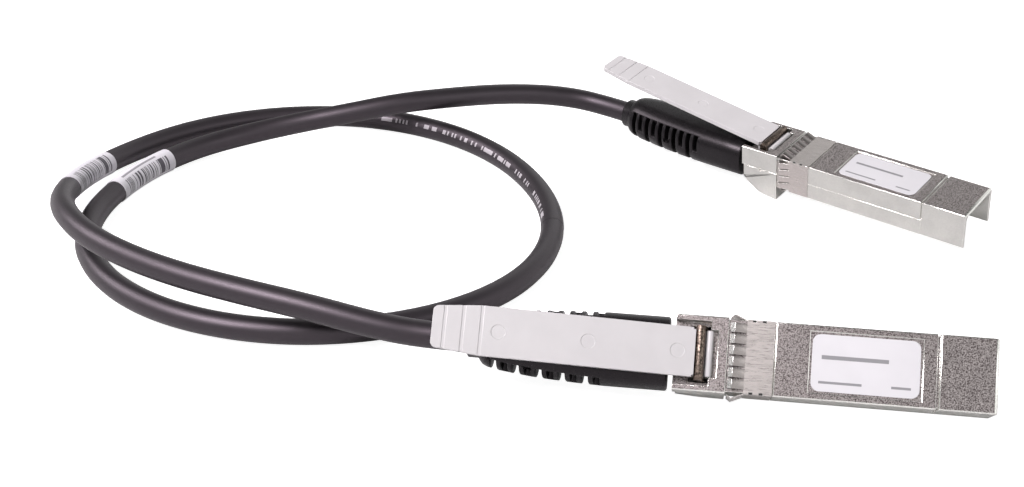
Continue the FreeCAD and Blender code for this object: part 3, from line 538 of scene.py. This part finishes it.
class BootSizes(bpy.types.PropertyGroup):
    """Sizes of a boot, along it from the plug's shoulder or from the boot's own front"""
    start: distance("Start", "Shoulder to the boot's front", 9.5)
    length: distance("Length", "Front face to the neck", 36.0)
    axis_level: distance("Axis", "Height of the boot's middle line", 3.3)
    neck_size: distance("Neck", "Diameter of the neck", 7.0)
    neck_length: distance("Neck length", "Beyond the dome", 2.5)
    slot_start: distance("First slot", "Front face to the first slot", 15.4)
    slot_pitch: distance("Slot pitch", "From slot to slot", 4.3)
    slot_count: bpy.props.IntProperty(name="Slots", description="Number of long slots", default=5)
    slot_width: distance("Slot width", "Of the long slots", 1.2)
    side_slot_width: distance("Short slot width", "Of the short slots", 1.2)
    slot_top: distance("Slot top", "Level where the slots end", 6.7)
    core: distance("Core", "Half width of the solid core", 3.1)
    side_core: distance("Short slot core", "Middle line to the short slots", 3.7)
    side_reach: distance("Short slot reach", "Below the middle line", 0.6)
    edge_round: distance("Edge round", "Rounding of the slot edges", 0.24)


class CableSizes(bpy.types.PropertyGroup):
    """Sizes of the cable and of what is wrapped round it"""
    diameter: distance("Diameter", "Outside of the jacket", 5.2)
    length: distance("Length", "Boot to boot", 617.0)
    wrap_sheet: distance("Wrap sheet", "Thickness of the wrapped labels", 0.15)
    mark_sheet: distance("Mark sheet", "Height of the printed marks", 0.02)
    sink: distance("Sink", "How far a wrapped sheet reaches into the jacket", 0.02)
    wrap_trim: amount("Wrap trim", "Cut off each end of a wrapped label", 0.12, min=0.0, max=0.4)
    wrap_sides: bpy.props.IntProperty(name="Wrap sides", description="Points round a sheet", default=48)


class FinishColours(bpy.types.PropertyGroup):
    """Tones of the larger surfaces"""
    cast_light: tone("Casting", "Bright part of the speckle", (0.76, 0.71, 0.70))
    cast_dark: tone("Casting pits", "Dark part of the speckle", (0.09, 0.075, 0.075))
    side_light: tone("Sides", "Smooth sides of the shells", (0.79, 0.785, 0.76))
    collar: tone("Collar", "Brushed spring sheet", (0.59, 0.545, 0.526))
    # The fingers' tone is darker than the collar's to paint the darker surroundings that the flared fingers
    # reflect: painted shade.
    fingers: tone("Fingers", "Sprung fingers of the collar", (0.35, 0.32, 0.31))
    rubber: tone("Boot", "Black moulding", (0.007, 0.0065, 0.007))
    jacket: tone("Jacket", "Cable's black cover", (0.007, 0.0062, 0.007))
    tab: tone("Tab", "Pale moulding of the pull tabs", (0.555, 0.545, 0.548))
    paper: tone("Label", "White film of the plug labels", (0.61, 0.606, 0.624))
    wrap: tone("Wrapped label", "White film round the cable", (0.67, 0.66, 0.69))


class StageSettings(bpy.types.PropertyGroup):
    """The camera, and how bright the floor and the fill light are"""
    lens: amount("Lens", "Focal length in mm on a 36 mm sensor", 52.734)
    place: bpy.props.FloatVectorProperty(name="Camera place", description="Where the camera stands",
                                         default=(-0.047237, -0.295001, 0.150114), subtype="TRANSLATION",
                                         size=3)
    elevation: amount("Elevation", "How far the camera looks down", math.radians(26.63), subtype="ANGLE")
    roll: amount("Roll", "Turn about the line of sight", math.radians(2.68), subtype="ANGLE")
    floor_size: distance("Floor", "Side of the floor", 6000.0)
    floor_tone: tone("Floor tone", "Pale floor under the lamps", (0.59, 0.59, 0.59))
    floor_glow: amount("Floor glow", "Added where the floor is seen or reflected", 0.12)
    white_glow: amount("White glow", "Added on top for the camera", 0.80)
    fill: amount("Fill", "Soft light from all round", 0.16)


# Cable

def cable_curve(resolution):
    curve = bpy.data.curves.new("cable_line", "CURVE")
    curve.dimensions = "3D"
    curve.resolution_u = resolution
    line = curve.splines.new("NURBS")
    line.points.add(len(ROUTE) - 1)
    for point, spot in zip(line.points, ROUTE):
        point.co = (*spot, 1.0)
    line.order_u = 3
    line.use_endpoint_u = True
    return curve


def centre_line():
    """Points read from the cable's own smooth spline."""
    probe = bpy.data.objects.new("probe", cable_curve(resolution=12))
    mesh = bpy.data.meshes.new_from_object(probe)
    points = [vertex.co.copy() for vertex in mesh.vertices]
    bpy.data.objects.remove(probe)
    return points


def nearest(points, spot):
    return min(range(len(points)), key=lambda index: (points[index] - spot).length)


def halfway(first, second):
    return (Vector(ROUTE[first]) + Vector(ROUTE[second])) / 2


def jacket_material(name, **marks):
    colour = tuple(bpy.context.scene.finish_colours.jacket)
    return moulding(name, colour, scaled(colour, 0.8), 0.45, 5000.0, 4e-6, specular=0.70,
                    tint=(1.0, 0.86, 0.97), **marks)


class CABLE_OT_jacket(bpy.types.Operator):
    """Lays the jacket along the route"""
    bl_idname = "cable.jacket"
    bl_label = "Cable jacket"

    def execute(self, context):
        curve = cable_curve(resolution=8)
        curve.bevel_depth = context.scene.cable_sizes.diameter / 2
        curve.bevel_resolution = 7
        curve.use_fill_caps = True
        jacket = put_in_scene("jacket_finished", curve)
        finish_piece(jacket, "cable", "jacket", jacket_material("jacket"))
        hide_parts("cable_jacket")
        return {"FINISHED"}


def sleeve(points, radius, sheet, sides):
    """A closed sleeve round some points, with U along it and V round it."""

    def ring(shape, index, reach):
        ahead = points[min(index + 1, len(points) - 1)] - points[max(index - 1, 0)]
        side = ahead.cross(Vector((0, 0, 1))).normalized()
        up = side.cross(ahead).normalized()
        turns = [2 * math.pi * step / sides for step in range(sides)]
        return [shape.verts.new(points[index] + reach * (side * math.sin(turn) - up * math.cos(turn)))
                for turn in turns]

    def build(shape):
        uv = shape.loops.layers.uv.new("UVMap")
        last = len(points) - 1
        inner, outer = ([ring(shape, index, reach) for index in range(last + 1)]
                        for reach in (radius, radius + sheet))
        for index in range(last):
            for step in range(sides):
                after = (step + 1) % sides
                corners = ((index, step), (index + 1, step), (index + 1, after), (index, after))
                outside = shape.faces.new([outer[row][place] for row, place in corners])
                shape.faces.new([inner[row][place] for row, place in reversed(corners)])
                ends = (index, index + 1, index + 1, index)
                around = (step, step, step + 1, step + 1)
                for loop, along, turn in zip(outside.loops, ends, around):
                    loop[uv].uv = (along / last, turn / sides)
        for index in (0, last):
            bridge(shape, inner[index], outer[index])
        for face in shape.faces:
            face.smooth = True

    return build


def sleeve_piece(name, points, sheet):
    sizes = bpy.context.scene.cable_sizes
    build = sleeve(points, sizes.diameter / 2 - sizes.sink, sheet + sizes.sink, sizes.wrap_sides)
    piece = mesh_piece(name, build)
    piece.data.set_sharp_from_angle(angle=SHARP_ANGLE)
    return piece


class CABLE_OT_wraps(bpy.types.Operator):
    """Puts two white labels and a stretch of jacket with printed marks round the cable"""
    bl_idname = "cable.wraps"
    bl_label = "Wrapped labels and marks"

    def execute(self, context):
        sizes = context.scene.cable_sizes
        white = tuple(context.scene.finish_colours.wrap)
        line = centre_line()
        for node, (first, second, band) in WRAPS.items():
            start = nearest(line, halfway(first - 1, first))
            stop = nearest(line, halfway(second, second + 1))
            trim = round((stop - start) * sizes.wrap_trim)
            film = moulding(node + "_film", white, WRAP_SHADE, 0.385, 1500.0, 4e-6,
                            draw=wrap_print(*band), ink=WRAP_INK)
            piece = sleeve_piece(node + "_finished", line[start + trim:stop - trim + 1], sizes.wrap_sheet)
            finish_piece(piece, "cable", "wrap_film", film)
            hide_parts(node)
        start, stop = (nearest(line, Vector(ROUTE[index])) for index in PRINT_SPAN)
        piece = sleeve_piece("jacket_marks", line[start:stop + 1], sizes.mark_sheet)
        marked = jacket_material("marked_jacket", draw=jacket_print, ink=JACKET_INK)
        finish_piece(piece, "cable", "jacket", marked)
        return {"FINISHED"}


class CABLE_OT_declare(bpy.types.Operator):
    """Looks up the two wrapped labels and the printed stretch on the jacket, and does nothing more with
    them
    """
    bl_idname = "cable.declare"
    bl_label = "Cord facts"

    def execute(self, context):
        pieces = [bpy.data.objects[node + "_finished"] for node in WRAPS]
        pieces.append(bpy.data.objects["jacket_marks"])
        return {"FINISHED"}


# Repeats made with Geometry Nodes

def geometry_group(name, *inputs):
    """A tree with named inputs, each input's socket identifier, and the tree's two ends."""
    tree = bpy.data.node_groups.new(name, "GeometryNodeTree")
    sockets = {}
    for label, kind in (*inputs, ("Step", "Vector"), ("Count", "Int"), ("Material", "Material")):
        socket = tree.interface.new_socket(label, in_out="INPUT", socket_type="NodeSocket" + kind)
        sockets[label] = socket.identifier
    tree.interface.new_socket("Geometry", in_out="OUTPUT", socket_type="NodeSocketGeometry")
    return tree, sockets, tree.nodes.new("NodeGroupInput").outputs, tree.nodes.new("NodeGroupOutput").inputs


def linked_node(tree, kind, links, **settings):
    """A node with its inputs, given by name or number, linked to their sources."""
    node = add_node(tree, kind, **settings)
    for key, source in links.items():
        connect(tree, source, node.inputs[key])
    return node


def realized(tree, geometry):
    return linked_node(tree, "GeometryNodeRealizeInstances", {0: geometry}).outputs[0]


def row_of(tree, entry, geometry, **links):
    """Real copies of a geometry along a line, by the tree's Count and Step."""
    links.update({"Count": entry["Count"], "Offset": entry["Step"]})
    row = linked_node(tree, "GeometryNodeMeshLine", links, mode="OFFSET")
    copies = linked_node(tree, "GeometryNodeInstanceOnPoints",
                         {"Points": row.outputs["Mesh"], "Instance": geometry})
    return realized(tree, copies.outputs[0])


def end_tree(tree, entry, leave, geometry):
    finish = linked_node(tree, "GeometryNodeSetMaterial",
                         {"Geometry": realized(tree, geometry), "Material": entry["Material"]})
    connect(tree, finish.outputs[0], leave[0])


def cutting_tree():
    """Cuts a row of equal slots: a cutter repeated along a line, then a boolean."""
    tree, sockets, entry, leave = geometry_group("Row of slots", ("Geometry", "Geometry"),
                                                 ("Cutter", "Object"))
    cutter = linked_node(tree, "GeometryNodeObjectInfo", {"Object": entry["Cutter"]})
    row = row_of(tree, entry, cutter.outputs["Geometry"])
    cut = linked_node(tree, "GeometryNodeMeshBoolean", {"Mesh 1": entry["Geometry"], "Mesh 2": row},
                      operation="DIFFERENCE", solver="EXACT")
    end_tree(tree, entry, leave, cut.outputs["Mesh"])
    return tree, sockets


def plates_tree():
    """Repeats a small plate along a line, on both edges of a band."""
    tree, sockets, entry, leave = geometry_group("Row of plates", ("Size", "Vector"), ("Start", "Vector"))
    plate = linked_node(tree, "GeometryNodeMeshCube", {"Size": entry["Size"]})
    row = row_of(tree, entry, plate.outputs["Mesh"], **{"Start Location": entry["Start"]})
    mirror = linked_node(tree, "GeometryNodeTransform", {"Geometry": row})
    mirror.inputs["Scale"].default_value = (1.0, -1.0, 1.0)
    turned = linked_node(tree, "GeometryNodeFlipFaces", {0: mirror.outputs[0]})
    both = linked_node(tree, "GeometryNodeJoinGeometry", {0: row})
    connect(tree, turned.outputs[0], both.inputs[0])
    end_tree(tree, entry, leave, both.outputs[0])
    return tree, sockets


def run_tree(piece, tree, sockets, values):
    """Runs a tree on a piece, which keeps the result as its plain mesh."""
    modifier = piece.modifiers.new(tree.name, "NODES")
    modifier.node_group = tree
    for label, value in values.items():
        modifier[sockets[label]] = value
    settle(piece)


# Boots

def rounded_outline(width, height, corner, steps=8):
    """Points of a rounded rectangle about zero."""
    points = []
    for right, up, start in ((1, 1, 0), (-1, 1, 90), (-1, -1, 180), (1, -1, 270)):
        for step in range(steps + 1):
            turn = math.radians(start + 90 * step / steps)
            points.append((right * (width / 2 - corner) + corner * math.cos(turn),
                           up * (height / 2 - corner) + corner * math.sin(turn)))
    return points


def bridge(shape, one, other):
    for step in range(len(one)):
        after = (step + 1) % len(one)
        shape.faces.new((one[step], one[after], other[after], other[step]))


def skin(shape, rings):
    """Faces from ring to ring, with a cap at either end."""
    for one, other in zip(rings, rings[1:]):
        bridge(shape, one, other)
    shape.faces.new(rings[0])
    shape.faces.new(rings[-1])


# Distance behind the front face, width, height and corner of each section, in millimetres.
BOOT_SECTIONS = [
    (0.0, 6.0, 6.0, 2.9), (1.0, 6.0, 6.0, 2.9), (1.02, 12.7, 8.4, 3.2), (1.12, 13.2, 8.95, 3.45),
    (1.4, 13.5, 9.2, 3.6), (6.0, 13.5, 9.3, 3.6), (12.4, 13.5, 9.4, 3.6),
    (15.5, 13.35, 9.5, 3.7), (19.0, 13.1, 9.62, 3.9), (22.5, 12.75, 9.73, 4.1), (26.0, 12.3, 9.83, 4.3),
    (29.5, 11.6, 9.92, 4.5), (32.0, 11.0, 9.95, 4.6), (33.6, 10.5, 9.9, 4.7), (34.7, 9.9, 9.6, 4.6),
    (35.5, 9.1, 9.0, 4.35), (36.0, 7.9, 7.9, 3.9),
]


def boot_body(sizes):
    """The boot's outer form before its slots: smooth, a slow waist, a dome and a neck."""
    sections = [[number * MM for number in section] for section in BOOT_SECTIONS]
    neck = sizes.neck_size
    # Distance behind the dome and diameter of each ring of the neck.
    neck_rings = ((0.1 * MM, neck + 0.4 * MM), (0.35 * MM, neck), (sizes.neck_length - 0.3 * MM, neck),
                  (sizes.neck_length, neck - 0.5 * MM))
    for along, size in neck_rings:
        sections.append((sizes.length + along, size, size, size / 2 - 0.01 * MM))

    def build(shape):
        rings = [[shape.verts.new((-sizes.start - along, across, sizes.axis_level + up))
                  for across, up in rounded_outline(*section)] for along, *section in sections]
        skin(shape, rings)
        for face in shape.faces:
            face.smooth = True

    return build


def slot_cutter(outline, start, width):
    """An outline across the plug, as long as a slot is wide."""

    def build(shape):
        ends = (start, start - width)
        skin(shape, [[shape.verts.new((along, y, z)) for y, z in outline] for along in ends])

    return build


def slot_cutters(sizes):
    """Cutters of the first slot that wraps round the core, and of the short ones on both sides."""
    outside, top, core, low = 12 * MM, sizes.slot_top, sizes.core, sizes.axis_level - sizes.core
    first = -sizes.start - sizes.slot_start
    round_core = [(-outside, top), (-outside, -outside), (outside, -outside), (outside, top),
                  (core, top), (core, low), (-core, low), (-core, top)]
    cutters = [slot_cutter(round_core, first, sizes.slot_width)]
    low = sizes.axis_level - sizes.side_reach
    for sign in (1, -1):
        inner, outer = sign * sizes.side_core, sign * outside
        beside = [(inner, low), (outer, low), (outer, top), (inner, top)]
        cutters.append(slot_cutter(beside, first + sizes.slot_pitch / 2, sizes.side_slot_width))
    return cutters


class CABLE_OT_boots(bpy.types.Operator):
    """Makes the slotted rubber boots"""
    bl_idname = "cable.boots"
    bl_label = "Boots"

    def execute(self, context):
        sizes = context.scene.boot_sizes
        colour = tuple(context.scene.finish_colours.rubber)
        rubber = moulding("boot_rubber", colour, scaled(colour, 0.75), 0.31, 4200.0, 10e-6,
                          specular=0.30, tint=(1.0, 0.9, 0.97))
        tree, sockets = cutting_tree()
        values = {"Count": sizes.slot_count, "Step": (-sizes.slot_pitch, 0.0, 0.0), "Material": rubber}
        for side in SIDES:
            boot = mesh_piece(side + "_boot_finished", boot_body(sizes))
            for build in slot_cutters(sizes):
                cutter = mesh_piece("slot_cutter", build)
                run_tree(boot, tree, sockets, {"Cutter": cutter, **values})
                bpy.data.objects.remove(cutter)
            shape = bmesh.new()
            shape.from_mesh(boot.data)
            bmesh.ops.remove_doubles(shape, verts=shape.verts, dist=2 * WELD)
            shape.to_mesh(boot.data)
            shape.free()
            for face in boot.data.polygons:
                face.use_smooth = True
            round_edges(boot, sizes.edge_round, math.radians(45))
            settle(boot)
            boot.data.set_sharp_from_angle(angle=math.radians(60))
            boot.data.transform(plug_matrix(side))
            boot.data.materials.clear()
            finish_piece(boot, "cable", "boot_rubber", rubber)
            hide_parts(side + "_boot")
        return {"FINISHED"}


# Metal pieces

def outer_edge_test(place, sizes):
    """A test for the long outer edges of a plug's body and block, and those of its nose."""
    inverse = place.inverted()
    near, same_place = 0.05 * MM, 0.02 * MM
    nose_reach, nose_foot, step_reach = 0.5 * MM, 1.0 * MM, 0.3 * MM

    def chosen(edge):
        one, other = (inverse @ vertex.co for vertex in edge.verts)
        middle = (one + other) / 2
        away = abs(middle.y) > sizes.body_width / 2 - near
        top = middle.z > sizes.body_height - near
        nose = middle.x > sizes.nose_end - nose_reach and middle.z > nose_foot
        groove = top and middle.x > sizes.groove_place
        across = abs(one.x - other.x) < same_place
        collar_step = top and across and abs(middle.x - sizes.collar_end) < step_reach
        return (away and (top or middle.z < near)) or nose or groove or collar_step

    return chosen


class CABLE_OT_shells(bpy.types.Operator):
    """Finishes the cast shells, speckled on the label's side and smooth elsewhere"""
    bl_idname = "cable.shells"
    bl_label = "Shells"

    def execute(self, context):
        sizes = context.scene.plug_sizes
        colours = context.scene.finish_colours
        smooth = tuple(colours.side_light)
        top = metal("cast_top", tuple(colours.cast_light), tuple(colours.cast_dark), 0.31, 4200.0, 14e-6)
        flank = metal("cast_side", smooth, scaled(smooth, 0.95), 0.33, 2600.0, 1e-6)
        # The shells' rounded edges take a brighter finish: painted highlight.
        edge = listed_finish("cast_edge_highlight")
        facing_up = 0.9
        for side in SIDES:
            place = plug_matrix(side)
            up = place.to_3x3() @ Vector((0, 0, 1))
            outer = outer_edge_test(place, sizes)
            for part in ("_upper_shell", "_lower_shell"):
                piece = softened_copy(side + part, sizes.edge_round, (flank, edge, top),
                                      sizes.bold_round, outer)
                for face in piece.data.polygons:
                    if face.material_index == 0 and face.normal.dot(up) > facing_up:
                        face.material_index = 2
                finish_piece(piece, "cable", "shell_casting")
        return {"FINISHED"}


class CABLE_OT_collars(bpy.types.Operator):
    """Finishes the sprung finger collars, with painted shade on the fingers and dark plates of painted
    shade as floors in the band's notches
    """
    bl_idname = "cable.collars"
    bl_label = "Finger collars"

    def execute(self, context):
        sizes = context.scene.plug_sizes
        light = tuple(context.scene.finish_colours.collar)
        shaded = tuple(context.scene.finish_colours.fingers)
        edge, shade = listed_finish("collar_edge_highlight"), listed_finish("notch_shade")
        tree, sockets = plates_tree()
        inset, finger_drop, lip_lean = 0.03 * MM, 0.5 * MM, -0.2
        size = (sizes.notch_length, sizes.notch_width, sizes.notch_depth)
        start = (sizes.notch_place + size[0] / 2, (sizes.body_width - size[1]) / 2 - inset,
                 sizes.body_height - size[2] / 2 - inset)
        values = {"Size": size, "Start": start, "Step": (sizes.notch_pitch, 0.0, 0.0),
                  "Count": sizes.notch_count, "Material": shade}
        for side in SIDES:
            band = brushed_metal(side + "_collar_sheet", light, scaled(light, 0.88), side)
            # The fingers are the band's brushed sheet in a darker tone: painted shade.
            finger = brushed_metal(side + "_finger_sheet", shaded, scaled(shaded, 0.9), side)
            piece = softened_copy(side + "_finger_collar", sizes.sheet_round, (band, edge, finger))
            inverse = plug_matrix(side).inverted()
            for face in piece.data.polygons:
                spot = inverse @ face.center
                if spot.x < sizes.band_start and spot.z > sizes.body_height - finger_drop:
                    # The bent lips take the bright edge finish, a painted highlight; the other finger faces
                    # take the darker sheet, painted shade.
                    lip = (inverse.to_3x3() @ face.normal).x < lip_lean
                    face.material_index = 1 if lip else 2
            finish_piece(piece, "cable", "finger_sheet")
            # Dark plates in the band's notches: painted shade inside them.
            notches = mesh_piece(side + "_band_notches", lambda shape: None)
            run_tree(notches, tree, sockets, values)
            notches.data.materials.clear()
            notches.data.transform(plug_matrix(side))
            finish_piece(notches, "cable", "shell_casting", shade)
        return {"FINISHED"}


class CABLE_OT_latches(bpy.types.Operator):
    """Finishes the rocker latches"""
    bl_idname = "cable.latches"
    bl_label = "Latches"

    def execute(self, context):
        sizes = context.scene.plug_sizes
        steels = (listed_finish("latch_steel"), listed_finish("latch_edge_highlight"))
        for side in SIDES:
            # Dark steel with brighter rounded edges: painted shade and painted highlight.
            rocker = softened_copy(side + "_latch_rocker", sizes.sheet_round, steels)
            finish_piece(rocker, side + "_latch", "latch_steel")
        return {"FINISHED"}


# Labels, tabs and what is inside

def label_plate(sizes):
    """A thin rounded plate in the plug's own frame, with its UV map over the top."""
    middle = sizes.label_start + sizes.label_length / 2
    low, high, bevel = sizes.label_level, sizes.label_level + sizes.label_sheet, 0.03 * MM

    def build(shape):
        uv = shape.loops.layers.uv.new("UVMap")
        rings = []
        for level, inset in ((low, 0.0), (high - bevel, 0.0), (high, bevel)):
            outline = rounded_outline(sizes.label_length - 2 * inset, sizes.label_width - 2 * inset,
                                      sizes.label_corner - inset)
            rings.append([shape.verts.new((middle + along, across, level)) for along, across in outline])
        skin(shape, rings)
        for face in shape.faces:
            for loop in face.loops:
                spot = loop.vert.co
                along, across = (spot.x - middle) / sizes.label_length, spot.y / sizes.label_width
                loop[uv].uv = (along + 0.5, across + 0.5)

    return build


class CABLE_OT_labels(bpy.types.Operator):
    """Puts a white film label with plain bars into each recess"""
    bl_idname = "cable.labels"
    bl_label = "Plug labels"

    def execute(self, context):
        white = tuple(context.scene.finish_colours.paper)
        film = moulding("label_film", white, scaled(white, 0.951), 0.42, 1500.0, 4e-6,
                        draw=label_print, ink=LABEL_INK)
        for side in SIDES:
            build = label_plate(context.scene.plug_sizes)
            piece = mesh_piece(side + "_label_finished", build, plug_matrix(side))
            finish_piece(piece, "cable", "label_film", film)
            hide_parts(side + "_label")
        return {"FINISHED"}


class CABLE_OT_tabs(bpy.types.Operator):
    """Finishes the pale pull tabs"""
    bl_idname = "cable.tabs"
    bl_label = "Pull tabs"

    def execute(self, context):
        sizes = context.scene.plug_sizes
        light = tuple(context.scene.finish_colours.tab)
        face = moulding("tab_plastic", light, scaled(light, 0.955), 0.40, 2400.0, 6e-6)
        # The tab's rounded edges take a brighter copy of its colour: a painted highlight.
        rim_highlight = moulding("tab_rim_highlight", scaled(light, 1.04), light, 0.36, 2400.0, 4e-6)
        for side in SIDES:
            piece = softened_copy(side + "_pull_tab", sizes.tab_round, (face, rim_highlight))
            finish_piece(piece, side + "_tab", "tab_plastic")
        return {"FINISHED"}


# The finish of each small part whose CAD shape is right as it is.
INNER_PARTS = {
    "rocker_pins": "latch_steel", "latch_spring": "latch_steel", "shell_screws": "screw_steel",
    "circuit_card": "circuit_board", "contact_pads": "gold_contacts", "card_parts": "chip_body",
    "wire_pairs": "pair_foil", "crimp_ferrule": "ferrule_metal",
}


class CABLE_OT_inner_parts(bpy.types.Operator):
    """Finishes the pins, springs and screws, and the card, wires and crimp inside each plug"""
    bl_idname = "cable.inner_parts"
    bl_label = "Inner parts"

    def execute(self, context):
        for side in SIDES:
            for part, name in INNER_PARTS.items():
                materials = frame["nodes"]["%s_%s" % (side, part)].data.materials
                materials.clear()
                materials.append(listed_finish(name))
        return {"FINISHED"}


# Stage

# Place, the point it faces, size in metres, power in watts, and colour of each lamp.
LAMPS = {
    "front_lamp": ((-0.46, -0.36, 0.60), (-0.06, 0.0, 0.0), (0.44, 0.30), 9.2, (1.0, 0.955, 0.985)),
    "left_lamp": ((-0.75, 0.15, 0.45), (-0.05, 0.0, 0.0), (0.35, 0.35), 3.4, (1.0, 0.95, 0.98)),
    "right_lamp": ((0.65, -0.45, 0.5), (0.0, 0.0, 0.0), (0.3, 0.4), 0.6, (1.0, 1.0, 1.0)),
}


def ray_mask(tree, *kinds):
    """1 for the kinds of ray named, and 0 for all others."""
    path = add_node(tree, "ShaderNodeLightPath")
    first, *others = (path.outputs["Is %s Ray" % kind] for kind in kinds)
    for other in others:
        first = math_step(tree, "MAXIMUM", first, other)
    return first


def floor_material(settings):
    """Pale floor that the camera sees as white, with the object's shadow kept."""
    material, tree, shader = new_material("floor_white", 0.0, 0.9)
    set_inputs(shader, {"Base Color": (*settings.floor_tone, 1.0), "Specular IOR Level": 0.1,
                        "Emission Color": (1.0, 1.0, 1.0, 1.0)})
    glow = math_step(tree, "MULTIPLY", ray_mask(tree, "Camera", "Glossy", "Transmission"),
                     settings.floor_glow)
    white = math_step(tree, "MULTIPLY", ray_mask(tree, "Camera"), settings.white_glow)
    connect(tree, math_step(tree, "ADD", glow, white), shader.inputs["Emission Strength"])
    return material


def light_world(scene, settings):
    """Pale light all round. Gloss sees a bright horizon, a dimmer belt and a dark top.

    What gloss sees is brighter towards the right than towards the left.
    """
    world = bpy.data.worlds.new("studio")
    scene.world = world
    world.use_nodes = True
    tree = world.node_tree
    ground = tree.nodes["Background"]
    ground.inputs["Color"].default_value = (1.0, 1.0, 1.0, 1.0)
    split = add_node(tree, "ShaderNodeSeparateXYZ")
    connect(tree, places(tree)["Generated"], split.inputs[0])
    belt = map_range(tree, split.outputs["Z"], (0.05, 0.45), (0.80, 0.60))
    top = map_range(tree, split.outputs["Z"], (0.60, 0.86), (1.0, 0.18))
    lean = map_range(tree, split.outputs["X"], (-0.28, 0.04), (0.50, 1.55), "LINEAR")
    sky = math_step(tree, "MULTIPLY", math_step(tree, "MULTIPLY", belt, top), lean)
    gloss = math_step(tree, "MULTIPLY", ray_mask(tree, "Glossy"), sky)
    clear = math_step(tree, "MAXIMUM", ray_mask(tree, "Camera", "Transmission"), gloss)
    others = math_step(tree, "SUBTRACT", 1.0, ray_mask(tree, "Camera", "Glossy", "Transmission"))
    fill = math_step(tree, "MULTIPLY", others, settings.fill)
    connect(tree, math_step(tree, "ADD", clear, fill), ground.inputs["Strength"])


def soft_lamp(name, place, target, size, power, colour):
    light = bpy.data.lights.new(name, "AREA")
    light.shape = "RECTANGLE"
    light.size, light.size_y = size
    light.energy = power
    light.color = colour
    lamp = put_in_scene(name, light)
    lamp.location = place
    lamp.rotation_euler = (Vector(target) - Vector(place)).to_track_quat("-Z", "Y").to_euler()


def photo_camera(scene, settings):
    lens = bpy.data.cameras.new("photo_camera")
    lens.sensor_width = 36.0
    lens.lens = settings.lens
    lens.clip_start = 0.01
    scene.camera = put_in_scene("photo_camera", lens)
    down = Matrix.Rotation(math.pi / 2 - settings.elevation, 4, "X")
    roll = Matrix.Rotation(settings.roll, 4, "Z")
    scene.camera.matrix_world = Matrix.Translation(settings.place) @ down @ roll


class CABLE_OT_stage(bpy.types.Operator):
    """Sets up the floor, the soft studio light and the camera"""
    bl_idname = "cable.stage"
    bl_label = "Stage"

    def execute(self, context):
        settings = context.scene.stage_settings
        photo_camera(context.scene, settings)
        half = settings.floor_size / 2
        corners = ((-half, -half), (half, -half), (half, half), (-half, half))
        floor = mesh_piece("floor", lambda shape: shape.faces.new(
            [shape.verts.new((x, y, 0.0)) for x, y in corners]))
        floor.data.materials.append(floor_material(settings))
        light_world(context.scene, settings)
        for name, lamp in LAMPS.items():
            soft_lamp(name, *lamp)
        context.scene.view_settings.view_transform = "Standard"
        return {"FINISHED"}


class CABLE_PT_panel(bpy.types.Panel):
    """Lists the steps that dress the cable, and their settings"""
    bl_idname = "CABLE_PT_panel"
    bl_label = "Direct attach cable"
    bl_space_type = "VIEW_3D"
    bl_region_type = "UI"
    bl_category = "Cable"

    def draw(self, context):
        layout = self.layout
        for step in STEPS:
            layout.operator(step.bl_idname)
        for key in SETTINGS:
            settings = getattr(context.scene, key)
            box = layout.box()
            for name in settings.__annotations__:
                box.prop(settings, name)


STEPS = (CABLE_OT_stage, CABLE_OT_jacket, CABLE_OT_wraps, CABLE_OT_declare, CABLE_OT_boots,
         CABLE_OT_shells, CABLE_OT_collars, CABLE_OT_latches, CABLE_OT_labels, CABLE_OT_tabs,
         CABLE_OT_inner_parts)
SETTINGS = {"plug_sizes": PlugSizes, "boot_sizes": BootSizes, "cable_sizes": CableSizes,
            "finish_colours": FinishColours, "stage_settings": StageSettings}


def register():
    for settings in SETTINGS.values():
        bpy.utils.register_class(settings)
    for key, settings in SETTINGS.items():
        setattr(bpy.types.Scene, key, bpy.props.PointerProperty(type=settings))
    for step in STEPS:
        bpy.utils.register_class(step)
    bpy.utils.register_class(CABLE_PT_panel)


def unregister():
    bpy.utils.unregister_class(CABLE_PT_panel)
    for step in reversed(STEPS):
        bpy.utils.unregister_class(step)
    for key, settings in SETTINGS.items():
        delattr(bpy.types.Scene, key)
        bpy.utils.unregister_class(settings)


def main():
    register()
    bpy.ops.cable.stage()
    bpy.ops.cable.jacket()
    bpy.ops.cable.wraps()
    bpy.ops.cable.declare()
    bpy.ops.cable.boots()
    bpy.ops.cable.shells()
    bpy.ops.cable.collars()
    bpy.ops.cable.latches()
    bpy.ops.cable.labels()
    bpy.ops.cable.tabs()
    bpy.ops.cable.inner_parts()


if __name__ == "__main__":
    main()
